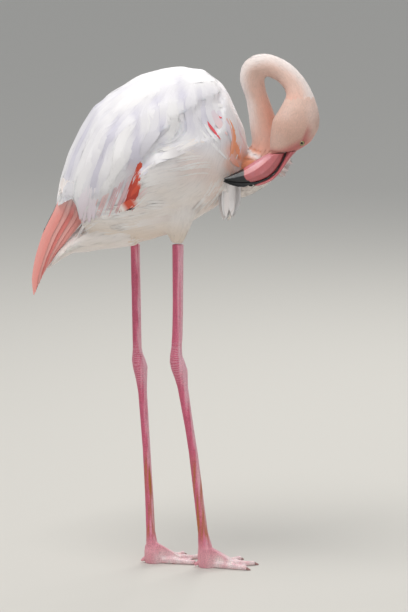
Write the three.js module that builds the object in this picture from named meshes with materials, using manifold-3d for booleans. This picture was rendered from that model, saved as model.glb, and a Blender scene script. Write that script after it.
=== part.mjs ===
// A greater flamingo at life size, standing on both legs and bending its neck back to preen its breast.
// Millimetres, +Z up. The bird faces +X, and its right side is towards -Y.
// Every part is a closed solid. Neighbours are trimmed to each other and keep a hairline gap between them.

import * as THREE from "three";
import { mergeVertices } from "three/addons/utils/BufferGeometryUtils.js";
import Module from "manifold-3d";

const wasm = await Module();
wasm.setup();

// ---------------------------------------------------------------- driving dimensions

const GAP = 0.3; // between two parts that touch
const RIGHT = -1; // sign of Y on the bird's right side
const LEFT = 1;
const degrees = Math.PI / 180;

// The trunk lies along a straight line that falls towards the tail. `s` runs back along it, `h` up from it.
const TRUNK_FRONT = { x: 75, z: 725 };
const TRUNK_PITCH = 29.4; // degrees below level, towards the tail
const WING_DEPTH = 18; // from the outside of the plumage in to the flank under the wing
const SCAPULAR_DEPTH = 4.5; // the long back feathers over the wing
const BREAST_END = 160; // s at which the fleshy fore trunk gives way to the light rump

const EYE_RADIUS = 5;
const EYE_X = 162.3;
const EYE_SINK = 3.2; // the eye's centre below the skin

const SHANK_THICKNESS = { front: 18, side: 13.5 }; // a leg is deeper front to back than it is wide
const TOE_BASE = { half: 8, side: 7 }; // upright and sideways
const TOE_TIP = { half: 4.2, side: 4 };
const WEB_THICKNESS = 2.2;
const WEB_RISE = 7; // of the web over the floor at the ball of the foot; its front edge lies on the floor
const CLAW_LENGTH = 7;

// ---------------------------------------------------------------- finishes

const finish = (color, roughness) => new THREE.MeshStandardMaterial({ color, roughness, metalness: 0 });
const WHITE_PLUMAGE = finish(0xf6ece9, 0.9);
const NECK_PLUMAGE = finish(0xf6d6ca, 0.85);
const CREAM_PLUMAGE = finish(0xeaddd0, 0.9);
const SALMON_PLUMAGE = finish(0xf58f86, 0.8);
const LEG_SKIN = finish(0xd27083, 0.5);
const WEB_SKIN = finish(0xe6a0a8, 0.5);
const BILL_PINK = finish(0xd07a80, 0.35);
const BILL_RIM = finish(0xc96f78, 0.35);
const HORN_BLACK = finish(0x2a2726, 0.35);
const EYE_YELLOW = finish(0xd9c98a, 0.1);

// ---------------------------------------------------------------- solids from three.js geometry

// Closes a geometry, by merging the vertices that its faces share, and turns it right side out.
function solid(geometry) {
  geometry.deleteAttribute("normal");
  geometry.deleteAttribute("uv");
  const merged = mergeVertices(geometry, 1e-3);
  const vertProperties = merged.getAttribute("position").array;
  const triVerts = new Uint32Array(merged.index.array);
  const made = new wasm.Manifold(new wasm.Mesh({ numProp: 3, vertProperties, triVerts }));
  if (made.volume() > 0) return made;
  for (let i = 0; i < triVerts.length; i += 3) {
    [triVerts[i], triVerts[i + 1]] = [triVerts[i + 1], triVerts[i]];
  }
  return new wasm.Manifold(new wasm.Mesh({ numProp: 3, vertProperties, triVerts }));
}

// One oval section of a loft. `half` is measured along its tilt in the side view, `side` along Y.
const section = (x, y, z, tilt, half, side) => ({
  centre: new THREE.Vector3(x, y, z),
  size: new THREE.Vector3(half, side, tilt * degrees),
});

const smooth = (points) => new THREE.CatmullRomCurve3(points, false, "catmullrom", 0.5);

// A cylinder whose rings take the place, size and tilt of the sections, smoothly from one to the next.
// `grow` moves its whole surface out. `egg` widens each section towards its tilt. `turn` twists its ovals.
function loft(sections, { sides = 16, steps = 2, grow = 0, egg = 0, turn = 0 } = {}) {
  const centres = smooth(sections.map((one) => one.centre));
  const sizes = smooth(sections.map((one) => one.size));
  const tube = new THREE.CylinderGeometry(1, 1, 1, sides, steps * (sections.length - 1));
  const corner = tube.getAttribute("position");
  for (let i = 0; i < corner.count; i++) {
    const t = Math.min(Math.max(0.5 - corner.getY(i), 0), 1);
    const reach = Math.hypot(corner.getX(i), corner.getZ(i));
    const angle = Math.atan2(corner.getX(i), corner.getZ(i));
    const size = sizes.getPoint(t);
    const half = Math.max(size.x + grow, 0.5);
    const side = Math.max(size.y + grow, 0.5);
    const twist = turn * degrees;
    const long = reach * half * Math.cos(angle);
    const wide = reach * side * Math.sin(angle) * (1 + egg * Math.cos(angle));
    const across = long * Math.cos(twist) - wide * Math.sin(twist);
    const aside = long * Math.sin(twist) + wide * Math.cos(twist);
    const place = centres.getPoint(t).addScaledVector(centres.getTangent(t), grow * (2 * t - 1));
    corner.setXYZ(
      i,
      place.x + across * Math.cos(size.z),
      place.y + aside,
      place.z + across * Math.sin(size.z),
    );
  }
  return solid(tube);
}

// Moves a closed outline, listed against the clock, out by a distance.
function widen(outline, distance) {
  return outline.map((point, i) => {
    const before = outline.at(i - 1);
    const after = outline[(i + 1) % outline.length];
    const way = after.clone().sub(before).normalize();
    return new THREE.Vector2(point.x + way.y * distance, point.y - way.x * distance);
  });
}

// A flat outline in the side view, pushed out along Y between two distances from the midline.
function slab(outline, side, from, to) {
  const depth = to - from;
  const block = new THREE.ExtrudeGeometry(new THREE.Shape(outline), { depth, bevelEnabled: false });
  block.rotateX(90 * degrees); // the outline's y becomes z, and its depth runs to -Y
  block.translate(0, side === RIGHT ? -from : to, 0);
  return solid(block);
}

// The one body that matters of a cut piece, without the crumbs.
const largest = (shape) => shape.decompose().sort((a, b) => b.volume() - a.volume())[0];

// ---------------------------------------------------------------- the group that is exported

const flamingo = new THREE.Group();

function keep(name, shape, material) {
  const { numProp, vertProperties, triVerts, numVert } = shape.getMesh();
  const corners = new Float32Array(numVert * 3);
  for (let i = 0; i < numVert; i++) {
    corners.set(vertProperties.subarray(i * numProp, i * numProp + 3), i * 3);
  }
  const geometry = new THREE.BufferGeometry();
  geometry.setAttribute("position", new THREE.BufferAttribute(corners, 3));
  geometry.setIndex(new THREE.BufferAttribute(triVerts, 1));
  const mesh = new THREE.Mesh(geometry, material);
  mesh.name = name;
  flamingo.add(mesh);
}

// ---------------------------------------------------------------- trunk

const trunkBack = { x: -Math.cos(TRUNK_PITCH * degrees), z: -Math.sin(TRUNK_PITCH * degrees) };

// A point of the side view from its distance back along the trunk's line and its height over that line.
const onTrunk = (s, h) => ({
  x: TRUNK_FRONT.x + s * trunkBack.x + h * trunkBack.z,
  z: TRUNK_FRONT.z + s * trunkBack.z - h * trunkBack.x,
});

// A section square to the trunk's line, from the heights of its back and belly and its half width.
function trunkSection(s, back, belly, side) {
  const { x, z } = onTrunk(s, (back + belly) / 2);
  return section(x, 0, z, 90 + TRUNK_PITCH, (back - belly) / 2, side);
}

// Outside of the plumage: full and upright over the breast, highest at the shoulder, sloping to the rump.
const TRUNK = [
  trunkSection(-13.5, 103, 84, 14),
  trunkSection(-10.5, 113, 64, 30),
  trunkSection(-8, 123, 25, 43),
  trunkSection(5, 149, -6, 63),
  trunkSection(32, 170, -44, 82),
  trunkSection(62, 183, -62, 96),
  trunkSection(100, 191.5, -67, 107),
  trunkSection(150, 192, -69, 112),
  trunkSection(195, 186, -68, 109),
  trunkSection(235, 164, -58, 98),
  trunkSection(272, 138, -42, 82),
  trunkSection(305, 106, -8, 62),
  trunkSection(328, 79, 26, 44),
  trunkSection(342, 62, 50, 22),
];
const trunkShape = (grow) => loft(TRUNK, { sides: 20, steps: 1, grow, egg: 0.09 });

// Behind this line the long tertials leave the wings, and the rump under them ends.
const REAR_EDGE = [[-330, 480], [-196, 560], [-207, 594], [-218, 640], [-249, 620], [-330, 600]];
const rear = REAR_EDGE.map(([x, z]) => new THREE.Vector2(x, z));
const plumage = trunkShape(0).subtract(slab(rear, RIGHT, -200, 200));
const besidePlumage = trunkShape(GAP).subtract(slab(widen(rear, -GAP), RIGHT, -200, 200));
const underWings = trunkShape(-WING_DEPTH);

// ---------------------------------------------------------------- folded wings

const LOBE_DEPTH = 3.5;
const WING_FRONT = [[31, 766], [34, 800], [38, 850], [36, 900]];
const WING_LOBES = [
  [22, 754],
  [-14, 741],
  [-50, 730],
  [-80, 717],
  [-104, 692],
  [-120, 658],
  [-143, 624],
  [-167, 614],
  [-188, 605],
  [-207, 594],
];
const SCAPULAR_FRONT = [[34.5, 826], [36.5, 850], [35, 900]];
const SCAPULAR_LOBES = [
  [30, 818],
  [-4, 806],
  [-42, 784],
  [-78, 750],
  [-108, 712],
  [-136, 680],
  [-164, 655],
  [-192, 640],
  [-205, 600],
];

// The outline of a folded wing from the side. Its back and top run in the open, well outside the bird.
// Each rounded lobe along the lower edge is the tip of one or a few long feathers.
function wingOutline(front, lobes) {
  const outline = new THREE.Shape();
  outline.moveTo(-330, 900);
  REAR_EDGE.slice(3).toReversed().forEach(([x, z]) => outline.lineTo(x, z));
  outline.lineTo(...lobes.at(-1));
  for (let i = lobes.length - 2; i >= 0; i--) {
    const { x, y } = outline.currentPoint;
    const [toX, toZ] = lobes[i];
    const bulge = (2 * LOBE_DEPTH) / Math.hypot(toX - x, toZ - y);
    outline.quadraticCurveTo((x + toX) / 2 + (toZ - y) * bulge, (y + toZ) / 2 - (toX - x) * bulge, toX, toZ);
  }
  front.forEach(([x, z]) => outline.lineTo(x, z));
  return outline.getPoints(2);
}

const wingEdge = wingOutline(WING_FRONT, WING_LOBES);
const scapularEdge = wingOutline(SCAPULAR_FRONT, SCAPULAR_LOBES);

// The trunk, less the room that the two folded wings take.
const wingRoom = slab(widen(wingEdge, GAP), RIGHT, -200, 200).subtract(underWings);
const trunk = plumage.subtract(wingRoom);

// Planes across the trunk's line part the breast from the rump.
function acrossTrunk(from, to) {
  const block = new THREE.BoxGeometry(to - from, 500, 900);
  block.translate(-(from + to) / 2, 0, 0);
  block.rotateY(-TRUNK_PITCH * degrees);
  block.translate(TRUNK_FRONT.x, 0, TRUNK_FRONT.z);
  return solid(block);
}
keep("breast", trunk.intersect(acrossTrunk(-200, BREAST_END - GAP / 2)), WHITE_PLUMAGE);
keep("rump", trunk.intersect(acrossTrunk(BREAST_END + GAP / 2, 600)), WHITE_PLUMAGE);

const overFlank = trunkShape(GAP - WING_DEPTH);
const wingOutside = trunkShape(-SCAPULAR_DEPTH);
const overWing = trunkShape(GAP - SCAPULAR_DEPTH);

for (const [name, side] of [["right", RIGHT], ["left", LEFT]]) {
  const wing = slab(wingEdge, side, GAP, 200);
  const scapulars = slab(scapularEdge, side, GAP, 200);
  keep(`wing_${name}`, wingOutside.subtract(overFlank).intersect(wing), WHITE_PLUMAGE);
  keep(`scapulars_${name}`, plumage.subtract(overWing).intersect(scapulars), WHITE_PLUMAGE);
}

// ---------------------------------------------------------------- neck and head

// The neck leaves the breast, turns up, and loops over to bring the head down on the breast's right side.
// Tilts point to the inside of the loop, from the outside of the first bend.
const NECK_ROOT = [
  section(28, 0, 690, -104, 46, 46),
  section(52, 0, 678, -101, 43, 42),
  section(70, 0, 675, -94, 41, 38),
  section(86, 0, 683, -71, 35.5, 34),
  section(102, 1, 697, -38, 33.5, 30.5),
];
const NECK_RISE = [
  section(109.5, 2, 717, -6, 30, 27),
  section(101, 4, 757, 0, 25.5, 23),
  section(91, 3, 797, 0, 21, 20.5),
];
const NECK_TURN = [
  section(83.5, 1, 819, 0, 21, 20),
  section(80.5, -2, 838, -5, 22.3, 20),
  section(86, -6, 853, -36, 23, 20),
  section(103, -12, 860, -79, 21, 19.5),
];
const NECK_FALL = [
  section(127, -19, 852, -114, 19.6, 19),
  section(142.5, -26, 840, -134, 19.4, 19),
  section(154, -32, 824.5, -156, 20.8, 19.5),
];
const HEAD_AT_EYE = section(143.6, -49, 735, -180, 34.6, 20.6);
const HEAD = [
  section(159.5, -38, 809, -176, 24.6, 21),
  section(158, -43, 790, -180, 33, 23.5),
  section(153.6, -45.5, 772, -180, 40.3, 24.8),
  section(151, -47.5, 757, -180, 40.4, 24.4),
  section(147, -48.5, 745, -180, 37.8, 22.8),
  HEAD_AT_EYE,
  section(138.4, -49.5, 727, -179, 29.2, 18.6),
  section(132.4, -50, 719.6, -178, 23.4, 16.6),
];

// Each length of the neck shares its last section with the next length, less half the hairline gap.
const NECK = { neck_root: NECK_ROOT, neck_rise: NECK_RISE, neck_turn: NECK_TURN, neck_fall: NECK_FALL };
const wholeNeck = [...Object.values(NECK).flat(), ...HEAD];
const NECK_SIDES = 16;
const NECK_STEPS = 2; // the head's own sections are close enough to need no more between them

// A stretch of the neck and head, from one of its sections to another, lofted on the curve of the whole.
function neckStretch(first, last, grow = 0) {
  const span = wholeNeck.length - 1;
  const centres = smooth(wholeNeck.map((one) => one.centre));
  const sizes = smooth(wholeNeck.map((one) => one.size));
  const rings = [];
  const steps = wholeNeck[first] === HEAD[0] ? 1 : NECK_STEPS;
  for (let i = first * steps; i <= last * steps; i++) {
    const t = i / steps / span;
    rings.push({ centre: centres.getPoint(t), size: sizes.getPoint(t) });
  }
  const trim = (ring, inwards) => {
    const way = new THREE.Vector3(-Math.sin(ring.size.z), 0, Math.cos(ring.size.z));
    ring.centre.addScaledVector(way, inwards * (GAP / 2));
  };
  if (first > 0) trim(rings[0], 1);
  if (last < span) trim(rings.at(-1), -1);
  return loft(rings, { sides: NECK_SIDES, steps: 1, grow });
}

let firstSection = 0;
for (const [name, sections] of Object.entries(NECK)) {
  const lastSection = firstSection + sections.length;
  const length = neckStretch(firstSection, lastSection);
  keep(name, name === "neck_root" ? length.subtract(besidePlumage) : length, NECK_PLUMAGE);
  firstSection = lastSection;
}
const headSection = firstSection;
const headShape = (grow) => neckStretch(headSection, wholeNeck.length - 1, grow);

// ---------------------------------------------------------------- eyes

const ball = (x, y, z, radius) => {
  const sphere = new THREE.SphereGeometry(radius, 8, 6);
  sphere.rotateX(90 * degrees);
  sphere.translate(x, y, z);
  return solid(sphere);
};
const eyeOffset = (EYE_X - HEAD_AT_EYE.centre.x) / HEAD_AT_EYE.size.x;
const eyeReach = HEAD_AT_EYE.size.y * Math.sqrt(1 - eyeOffset ** 2) - EYE_SINK; // from the middle of the head
let head = headShape(0);
for (const [name, side] of [["right", RIGHT], ["left", LEFT]]) {
  const place = [EYE_X, HEAD_AT_EYE.centre.y + side * eyeReach, HEAD_AT_EYE.centre.z];
  keep(`eye_${name}`, ball(...place, EYE_RADIUS), EYE_YELLOW);
  head = head.subtract(ball(...place, EYE_RADIUS + GAP));
}

// ---------------------------------------------------------------- bill

// Both halves follow one bent gape. Each row is a point on the gape and the point over it, on the keel of the
// deep lower half or on the ridge of the thin upper half, then the half width and the place along Y.
const LOWER_BILL = [
  { gape: [135, 717.5], keel: [105, 715], side: 14.5, y: -51 },
  { gape: [129.5, 703], keel: [94, 709], side: 14.8, y: -53 },
  { gape: [120, 688.5], keel: [84, 703.5], side: 15, y: -56 },
  { gape: [107, 677.2], keel: [73, 697], side: 14.5, y: -60 },
  { gape: [88, 670], keel: [62, 690.5], side: 12.6, y: -64 },
  { gape: [67, 667.8], keel: [51, 685.5], side: 9.8, y: -68 },
  { gape: [49, 670], keel: [41, 681], side: 6.6, y: -72 },
  { gape: [34, 675], keel: [32.5, 677.5], side: 2, y: -75 },
];
const UPPER_BILL = [
  { gape: [137, 719], keel: [156, 721.5], side: 14.2, y: -51 },
  { gape: [132, 704.5], keel: [142, 706.5], side: 13, y: -53 },
  { gape: [122.5, 688.2], keel: [128.6, 687], side: 12.4, y: -56 },
  { gape: [109, 675.8], keel: [113.6, 672.2], side: 12, y: -60 },
  { gape: [88.6, 668], keel: [90.4, 663.4], side: 11, y: -64 },
  { gape: [67, 665.8], keel: [66, 661.8], side: 8.8, y: -68 },
  { gape: [48.4, 668], keel: [46.6, 665], side: 6, y: -72 },
  { gape: [33, 673.6], keel: [32, 671.8], side: 2, y: -75 },
];
function billHalf(rows, grow = 0) {
  const sections = rows.map(({ gape: [gx, gz], keel: [kx, kz], side, y }) => {
    const tilt = Math.atan2(kz - gz, kx - gx) / degrees;
    const wrapped = tilt < -100 ? tilt + 360 : tilt;
    return section((gx + kx) / 2, y, (gz + kz) / 2, wrapped, Math.hypot(kx - gx, kz - gz) / 2, side);
  });
  return loft(sections, { sides: 10, steps: 2, grow });
}
const upperBill = billHalf(UPPER_BILL);
const lowerBill = billHalf(LOWER_BILL).subtract(billHalf(UPPER_BILL, GAP));
keep("head", head, NECK_PLUMAGE);
keep("bill_upper", upperBill.subtract(headShape(GAP)), BILL_RIM);
keep("bill_lower", lowerBill.subtract(headShape(GAP)), BILL_PINK);

// ---------------------------------------------------------------- loose breast plumes, drawn out by the bill

const PLUMES = [
  section(34, -44, 672, 0, 9, 18),
  section(39, -46, 655, 0, 11.5, 18),
  section(44, -46, 636, 2, 12, 16),
  section(45, -46, 618, 3, 11.2, 12),
  section(42.5, -45, 606, 5, 9.2, 8),
  section(40.5, -44, 598, 8, 6.6, 3.5),
];
const besideNeck = neckStretch(0, NECK_ROOT.length + NECK_RISE.length, GAP);
const besideBill = billHalf(LOWER_BILL, GAP).add(billHalf(UPPER_BILL, GAP));
const plumes = loft(PLUMES, { sides: 10, steps: 1 }).subtract(besidePlumage).subtract(besideNeck);
keep("breast_plumes", largest(plumes.subtract(besideBill)), CREAM_PLUMAGE);

// ---------------------------------------------------------------- legs

// Rows run down a leg: x, z and half thickness in the side view, and for a thigh its half width as well.
// `hipY` and `footY` are distances of a leg from the midline, and a negative one lies across it. Both feet
// stand under the balance of a bird whose head hangs on its right. `turn` is how far a leg's ovals turn out of
// the fore-and-aft line, and `heading` how far the foot points away from straight ahead, towards +Y.
const LEGS = {
  right: {
    side: RIGHT,
    turn: 0,
    hipY: 45,
    footY: 32,
    thigh: [
      [-49, 640, 42, 34],
      [-48, 612, 36, 29],
      [-46, 590, 25, 22],
      [-45, 573, 15.5, 15],
      [-44.5, 562, 11, 11],
    ],
    shank: [
      [-43.8, 561.7, 9.8],
      [-43.8, 520, 9.4],
      [-43.9, 460, 9],
      [-44.8, 410, 9],
      [-46.2, 385, 9.2],
    ],
    ankle: [
      [-46.2, 385, 9.2],
      [-47, 371, 10.6],
      [-45, 359, 13],
      [-41.5, 346, 13.8],
      [-38.8, 333, 11.6],
      [-36, 316, 9.2],
    ],
    tarsus: [
      [-36, 316, 9.2],
      [-24.8, 245, 7.6],
      [-18.2, 202, 7.8],
      [-11.6, 145, 8.2],
      [-6.4, 100, 8.3],
      [-1.8, 62, 8.8],
      [2.4, 34, 12.6],
    ],
    foot: { x: 4, heading: 8 },
  },
  left: {
    side: LEFT,
    turn: 50,
    hipY: 45,
    footY: -3,
    thigh: [
      [-120, 640, 38, 34],
      [-119, 606, 32, 28],
      [-118, 580, 22, 20],
      [-117.5, 560, 13, 13],
      [-117.3, 549, 9.5, 9.5],
    ],
    shank: [
      [-117.3, 548.7, 9.4],
      [-116.6, 500, 9.2],
      [-115.6, 450, 9.1],
      [-114.8, 400, 9],
      [-114.3, 372, 9],
    ],
    ankle: [
      [-114.3, 372, 9],
      [-113.7, 362, 10.4],
      [-112, 351, 13.4],
      [-109, 338, 14.8],
      [-107, 318, 11.4],
      [-105.2, 295, 9],
    ],
    tarsus: [
      [-105.2, 295, 9],
      [-98.8, 200, 7.8],
      [-96.4, 155, 8],
      [-94.2, 115, 8.4],
      [-91.8, 55, 9],
      [-89.6, 31, 12],
    ],
    foot: { x: -88, heading: 18 },
  },
};
const LEG_FLATNESS = SHANK_THICKNESS.side / SHANK_THICKNESS.front;
const HIP_LEVEL = 600;
const legY = (leg, z) => leg.side * THREE.MathUtils.lerp(leg.footY, leg.hipY, Math.min(z / HIP_LEVEL, 1));

function thighShape(name, grow) {
  const leg = LEGS[name];
  const sections = leg.thigh.map(([x, z, half, side]) => section(x, legY(leg, z), z, 0, half, side));
  return loft(sections, { sides: 12, steps: 1, grow });
}

for (const [name, leg] of Object.entries(LEGS)) {
  keep(`thigh_${name}`, largest(thighShape(name, 0).subtract(besidePlumage)), CREAM_PLUMAGE);
  for (const bone of ["shank", "ankle", "tarsus"]) {
    const rows = leg[bone];
    const sections = rows.map(([x, z, half], i) => {
      const trimmed = i === 0 && bone !== "shank" ? z - GAP : z;
      return section(x, legY(leg, z), trimmed, 0, half, half * LEG_FLATNESS);
    });
    const tilt = leg.side * leg.turn;
    keep(`${bone}_${name}`, loft(sections, { sides: 12, steps: 1, turn: tilt }), LEG_SKIN);
  }
}

// ---------------------------------------------------------------- tail

// The vent feathers and the short tail, from inside the rump back.
const TAIL = [
  trunkSection(246, 22, -60.5, 60),
  trunkSection(278, 24, -47.5, 56),
  trunkSection(305, 22, -36.5, 50),
  trunkSection(326, 18, -27.5, 44),
  trunkSection(348, 11.5, -17, 36),
  trunkSection(371, 4, -16.5, 26),
  trunkSection(389, -5, -20.5, 17),
  trunkSection(402, -15.5, -21, 8),
];
const tailShape = (grow) => loft(TAIL, { sides: 12, steps: 1, grow });
let tail = tailShape(0).subtract(besidePlumage);
for (const name of Object.keys(LEGS)) tail = tail.subtract(thighShape(name, GAP));
keep("tail", largest(tail), WHITE_PLUMAGE);

// ---------------------------------------------------------------- salmon tertials, the long wing feathers

// Each is a curved blade. Those of one wing fan between a back and a tail edge, each under the last.
const TERTIAL_BACK_EDGE = [[-224, 655], [-245, 613], [-266, 574], [-279, 535], [-287, 500], [-288, 470]];
const TERTIAL_TAIL_EDGE = [[-198, 636], [-210, 602], [-238, 572], [-254, 546], [-264, 520], [-271, 494]];
const TERTIALS = 4;
const TERTIAL_HALF_WIDTH = 8.6;
const TERTIAL_HALF_THICKNESS = 1.3;
const TERTIAL_ROOT_Y = 36; // from the midline
const TERTIAL_TIP_Y = 13;

function tertial(side, n) {
  const across = n / (TERTIALS - 1); // 0 at the back edge, 1 beside the tail
  const length = 1 - 0.24 * across ** 1.4;
  const [back, inner] = [TERTIAL_BACK_EDGE, TERTIAL_TAIL_EDGE].map((edge) =>
    smooth(edge.map(([x, z]) => new THREE.Vector3(x, 0, z))),
  );
  const sections = [];
  for (const along of [0, 0.25, 0.5, 0.74, 0.92, 1]) {
    const t = along * length;
    const place = back.getPoint(t).lerp(inner.getPoint(t), across);
    const heading = back.getTangent(t).lerp(inner.getTangent(t), across);
    const tilt = Math.atan2(heading.z, heading.x) / degrees + 90;
    const width = TERTIAL_HALF_WIDTH * Math.sqrt(Math.max(1.02 - along ** 6, 0.03)) * (1 - 0.15 * along);
    const y = THREE.MathUtils.lerp(TERTIAL_ROOT_Y, TERTIAL_TIP_Y, t) - 1.6 * n;
    sections.push(section(place.x, side * y, place.z, tilt, width, TERTIAL_HALF_THICKNESS));
  }
  return loft(sections, { sides: 6, steps: 1 });
}

const besideTail = tailShape(GAP);
for (const [name, side] of [["right", RIGHT], ["left", LEFT]]) {
  let fan = tertial(side, 0);
  for (let n = 1; n < TERTIALS; n++) fan = fan.add(tertial(side, n));
  keep(`tertials_${name}`, fan.subtract(besidePlumage).subtract(besideTail), SALMON_PLUMAGE);
}

// ---------------------------------------------------------------- feet

// Toes spread from the ball of the foot. `spread` is measured from the foot's heading, towards the midline.
const TOES = {
  inner: { spread: 29, length: 74, joints: 2 },
  middle: { spread: 0, length: 84, joints: 3 },
  outer: { spread: -25, length: 72, joints: 3 },
};
const TOE_RINGS_PER_JOINT = 2;
const KNUCKLE = 0.12; // how much a joint swells
const WEB_REACH = 0.93; // of each toe's length
const WEB_HOLLOW = 0.74; // how far out the front edge of the web comes between two toes
const HIND_TOE = { from: [-9, 12], to: [-20, 3.2], half: 3.8 };
const aboveFloor = solid(new THREE.BoxGeometry(900, 400, 100).translate(0, 0, 50));

// A toe or a claw lies along +X from the ball of its foot, and is then turned to its way.
function toeShape(rings, home, way) {
  const sections = rings.map(({ at, half, side }) => section(at, 0, half * 0.8, 90, half, side));
  return loft(sections, { sides: 6, steps: 1 }).rotate([0, 0, way]).translate([home.x, home.y, 0]);
}

for (const [name, leg] of Object.entries(LEGS)) {
  const home = new THREE.Vector3(leg.foot.x, leg.side * leg.footY, 0);
  const wayOf = (spread) => leg.foot.heading - leg.side * spread;
  const outTo = (spread, distance) =>
    new THREE.Vector2(distance, 0).rotateAround(new THREE.Vector2(), wayOf(spread) * degrees);
  const [tarsusX, tarsusEnd, tarsusHalf] = leg.tarsus.at(-1);

  // The instep carries the tarsus down to the ball of the foot.
  const instep = (grow) =>
    loft(
      [
        section(tarsusX, legY(leg, tarsusEnd), tarsusEnd - GAP, 0, tarsusHalf, tarsusHalf * 0.86),
        section(home.x - 0.5, home.y, tarsusEnd - 11, 0, 14.4, 11.8),
        section(home.x + 1.5, home.y, 9, 0, 16, 12),
        section(home.x + 2, home.y, -3, 0, 15, 11),
      ],
      { sides: 12, steps: 1, grow },
    );

  let foot = instep(0);
  for (const [toeName, toe] of Object.entries(TOES)) {
    const rings = [];
    const last = TOE_RINGS_PER_JOINT * toe.joints;
    for (let i = 0; i <= last; i++) {
      const along = i / last;
      const swell = 1 + KNUCKLE * Math.cos(2 * Math.PI * toe.joints * along);
      const half = THREE.MathUtils.lerp(TOE_BASE.half, TOE_TIP.half, along) * swell;
      const side = THREE.MathUtils.lerp(TOE_BASE.side, TOE_TIP.side, along) * swell;
      rings.push({ at: along * toe.length, half, side });
    }
    foot = foot.add(toeShape(rings, home, wayOf(toe.spread)));
    const claw = [
      { at: toe.length + GAP, half: 3.2, side: 3.2 },
      { at: toe.length + CLAW_LENGTH, half: 1, side: 0.9 },
    ];
    const clawShape = toeShape(claw, home, wayOf(toe.spread)).intersect(aboveFloor);
    keep(`claw_${name}_${toeName}`, clawShape, HORN_BLACK);
  }

  // The web fills the two gaps between the toes, with a hollow front edge in each, and falls to the front.
  const tips = Object.values(TOES).map((toe) => outTo(toe.spread, toe.length * WEB_REACH));
  const hollow = (one, other) =>
    outTo((one.spread + other.spread) / 2, Math.min(one.length, other.length) * WEB_HOLLOW);
  const web = new THREE.Shape();
  const hollows = [hollow(TOES.inner, TOES.middle), hollow(TOES.middle, TOES.outer)];
  web.moveTo(0, 0);
  web.lineTo(tips[0].x, tips[0].y);
  hollows.forEach(({ x, y }, i) => web.quadraticCurveTo(x, y, tips[i + 1].x, tips[i + 1].y));
  web.closePath();
  const depth = WEB_THICKNESS;
  const plate = new THREE.ExtrudeGeometry(web, { depth, bevelEnabled: false, curveSegments: 4 });
  plate.rotateY(Math.atan2(WEB_RISE, TOES.inner.length));
  plate.translate(home.x, home.y, WEB_RISE);
  foot = foot.add(solid(plate)).intersect(aboveFloor);
  keep(`foot_${name}`, largest(foot), WEB_SKIN);

  const [fromX, fromZ] = HIND_TOE.from;
  const [toX, toZ] = HIND_TOE.to;
  const slope = Math.atan2(toZ - fromZ, toX - fromX) / degrees + 90;
  const hind = loft(
    [0, 0.5, 1].map((t) => {
      const [x, z] = [THREE.MathUtils.lerp(fromX, toX, t), THREE.MathUtils.lerp(fromZ, toZ, t)];
      const half = HIND_TOE.half * (1 - 0.3 * t);
      return section(home.x + x, home.y, z, slope, half, half);
    }),
    { sides: 6, steps: 1 },
  );
  keep(`hind_toe_${name}`, largest(hind.subtract(instep(GAP)).intersect(aboveFloor)), LEG_SKIN);
}

// ---------------------------------------------------------------- origin on the floor, under the middle

const extent = new THREE.Box3().setFromObject(flamingo);
const middle = extent.getCenter(new THREE.Vector3());
flamingo.position.set(-middle.x, -middle.y, -extent.min.z);

export default flamingo;
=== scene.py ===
"""A life-size greater flamingo, preening: skin, feathers, bill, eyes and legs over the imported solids."""

import math

import bmesh
import bpy
import numpy as np
from mathutils import Euler, Matrix, Vector, noise
from mathutils.bvhtree import BVHTree


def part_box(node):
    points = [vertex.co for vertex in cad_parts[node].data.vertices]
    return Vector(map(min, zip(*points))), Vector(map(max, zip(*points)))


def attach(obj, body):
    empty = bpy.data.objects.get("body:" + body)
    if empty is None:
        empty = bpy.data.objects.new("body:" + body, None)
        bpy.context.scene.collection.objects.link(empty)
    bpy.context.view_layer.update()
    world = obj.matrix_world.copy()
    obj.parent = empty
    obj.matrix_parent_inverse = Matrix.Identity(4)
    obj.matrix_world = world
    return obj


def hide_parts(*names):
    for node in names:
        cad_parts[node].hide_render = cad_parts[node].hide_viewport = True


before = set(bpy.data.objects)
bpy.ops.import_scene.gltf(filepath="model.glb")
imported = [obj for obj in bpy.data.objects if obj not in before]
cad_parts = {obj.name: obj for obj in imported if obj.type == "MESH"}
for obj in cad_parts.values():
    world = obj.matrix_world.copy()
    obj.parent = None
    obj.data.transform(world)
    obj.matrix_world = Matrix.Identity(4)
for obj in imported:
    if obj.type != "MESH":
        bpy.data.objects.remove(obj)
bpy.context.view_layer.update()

# ---------------------------------------------------------------- camera, floor and light
# The bird stands on a plain pale floor in a soft studio. The camera is a long lens five metres off its right
# side, a little over the bird's own height, and looks slightly down.

EYE_AHEAD = 162.3  # mm from the bird's own zero, between its legs, forward to its eye
SIDES = {"right": -1, "left": 1}

eye_low, eye_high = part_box("eye_right")
ZERO_X = (eye_low.x + eye_high.x) / 2 - EYE_AHEAD / 1000


def mm(x, y, z):
    """A place in metres from the bird's own millimetres: forward of its zero, to its left and up."""
    return Vector((ZERO_X + x / 1000, y / 1000, z / 1000))


def srgb(red, green, blue):
    """A colour as it looks on a screen, 0 to 255, in the linear values that shaders take."""
    parts = np.array((red, green, blue)) / 255
    return np.where(parts < 0.04045, parts / 12.92, ((parts + 0.055) / 1.055) ** 2.4)


LENS = 176  # mm
CAMERA_PLACE = mm(0, -5000, 1348.2)
CAMERA_DOWN = 10.2  # degrees below level

camera = bpy.data.objects.new("camera", bpy.data.cameras.new("camera"))
camera.data.lens = LENS
camera.location = CAMERA_PLACE
camera.rotation_euler = Euler((math.radians(90 - CAMERA_DOWN), 0, 0))
bpy.context.collection.objects.link(camera)
bpy.context.scene.camera = camera
bpy.context.scene.view_settings.view_transform = "Standard"


def mesh_object(name, bm):
    """A new piece at the origin from a bmesh, which is used up."""
    mesh = bpy.data.meshes.new(name)
    bm.to_mesh(mesh)
    bm.free()
    piece = bpy.data.objects.new(name, mesh)
    bpy.context.collection.objects.link(piece)
    return piece


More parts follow.
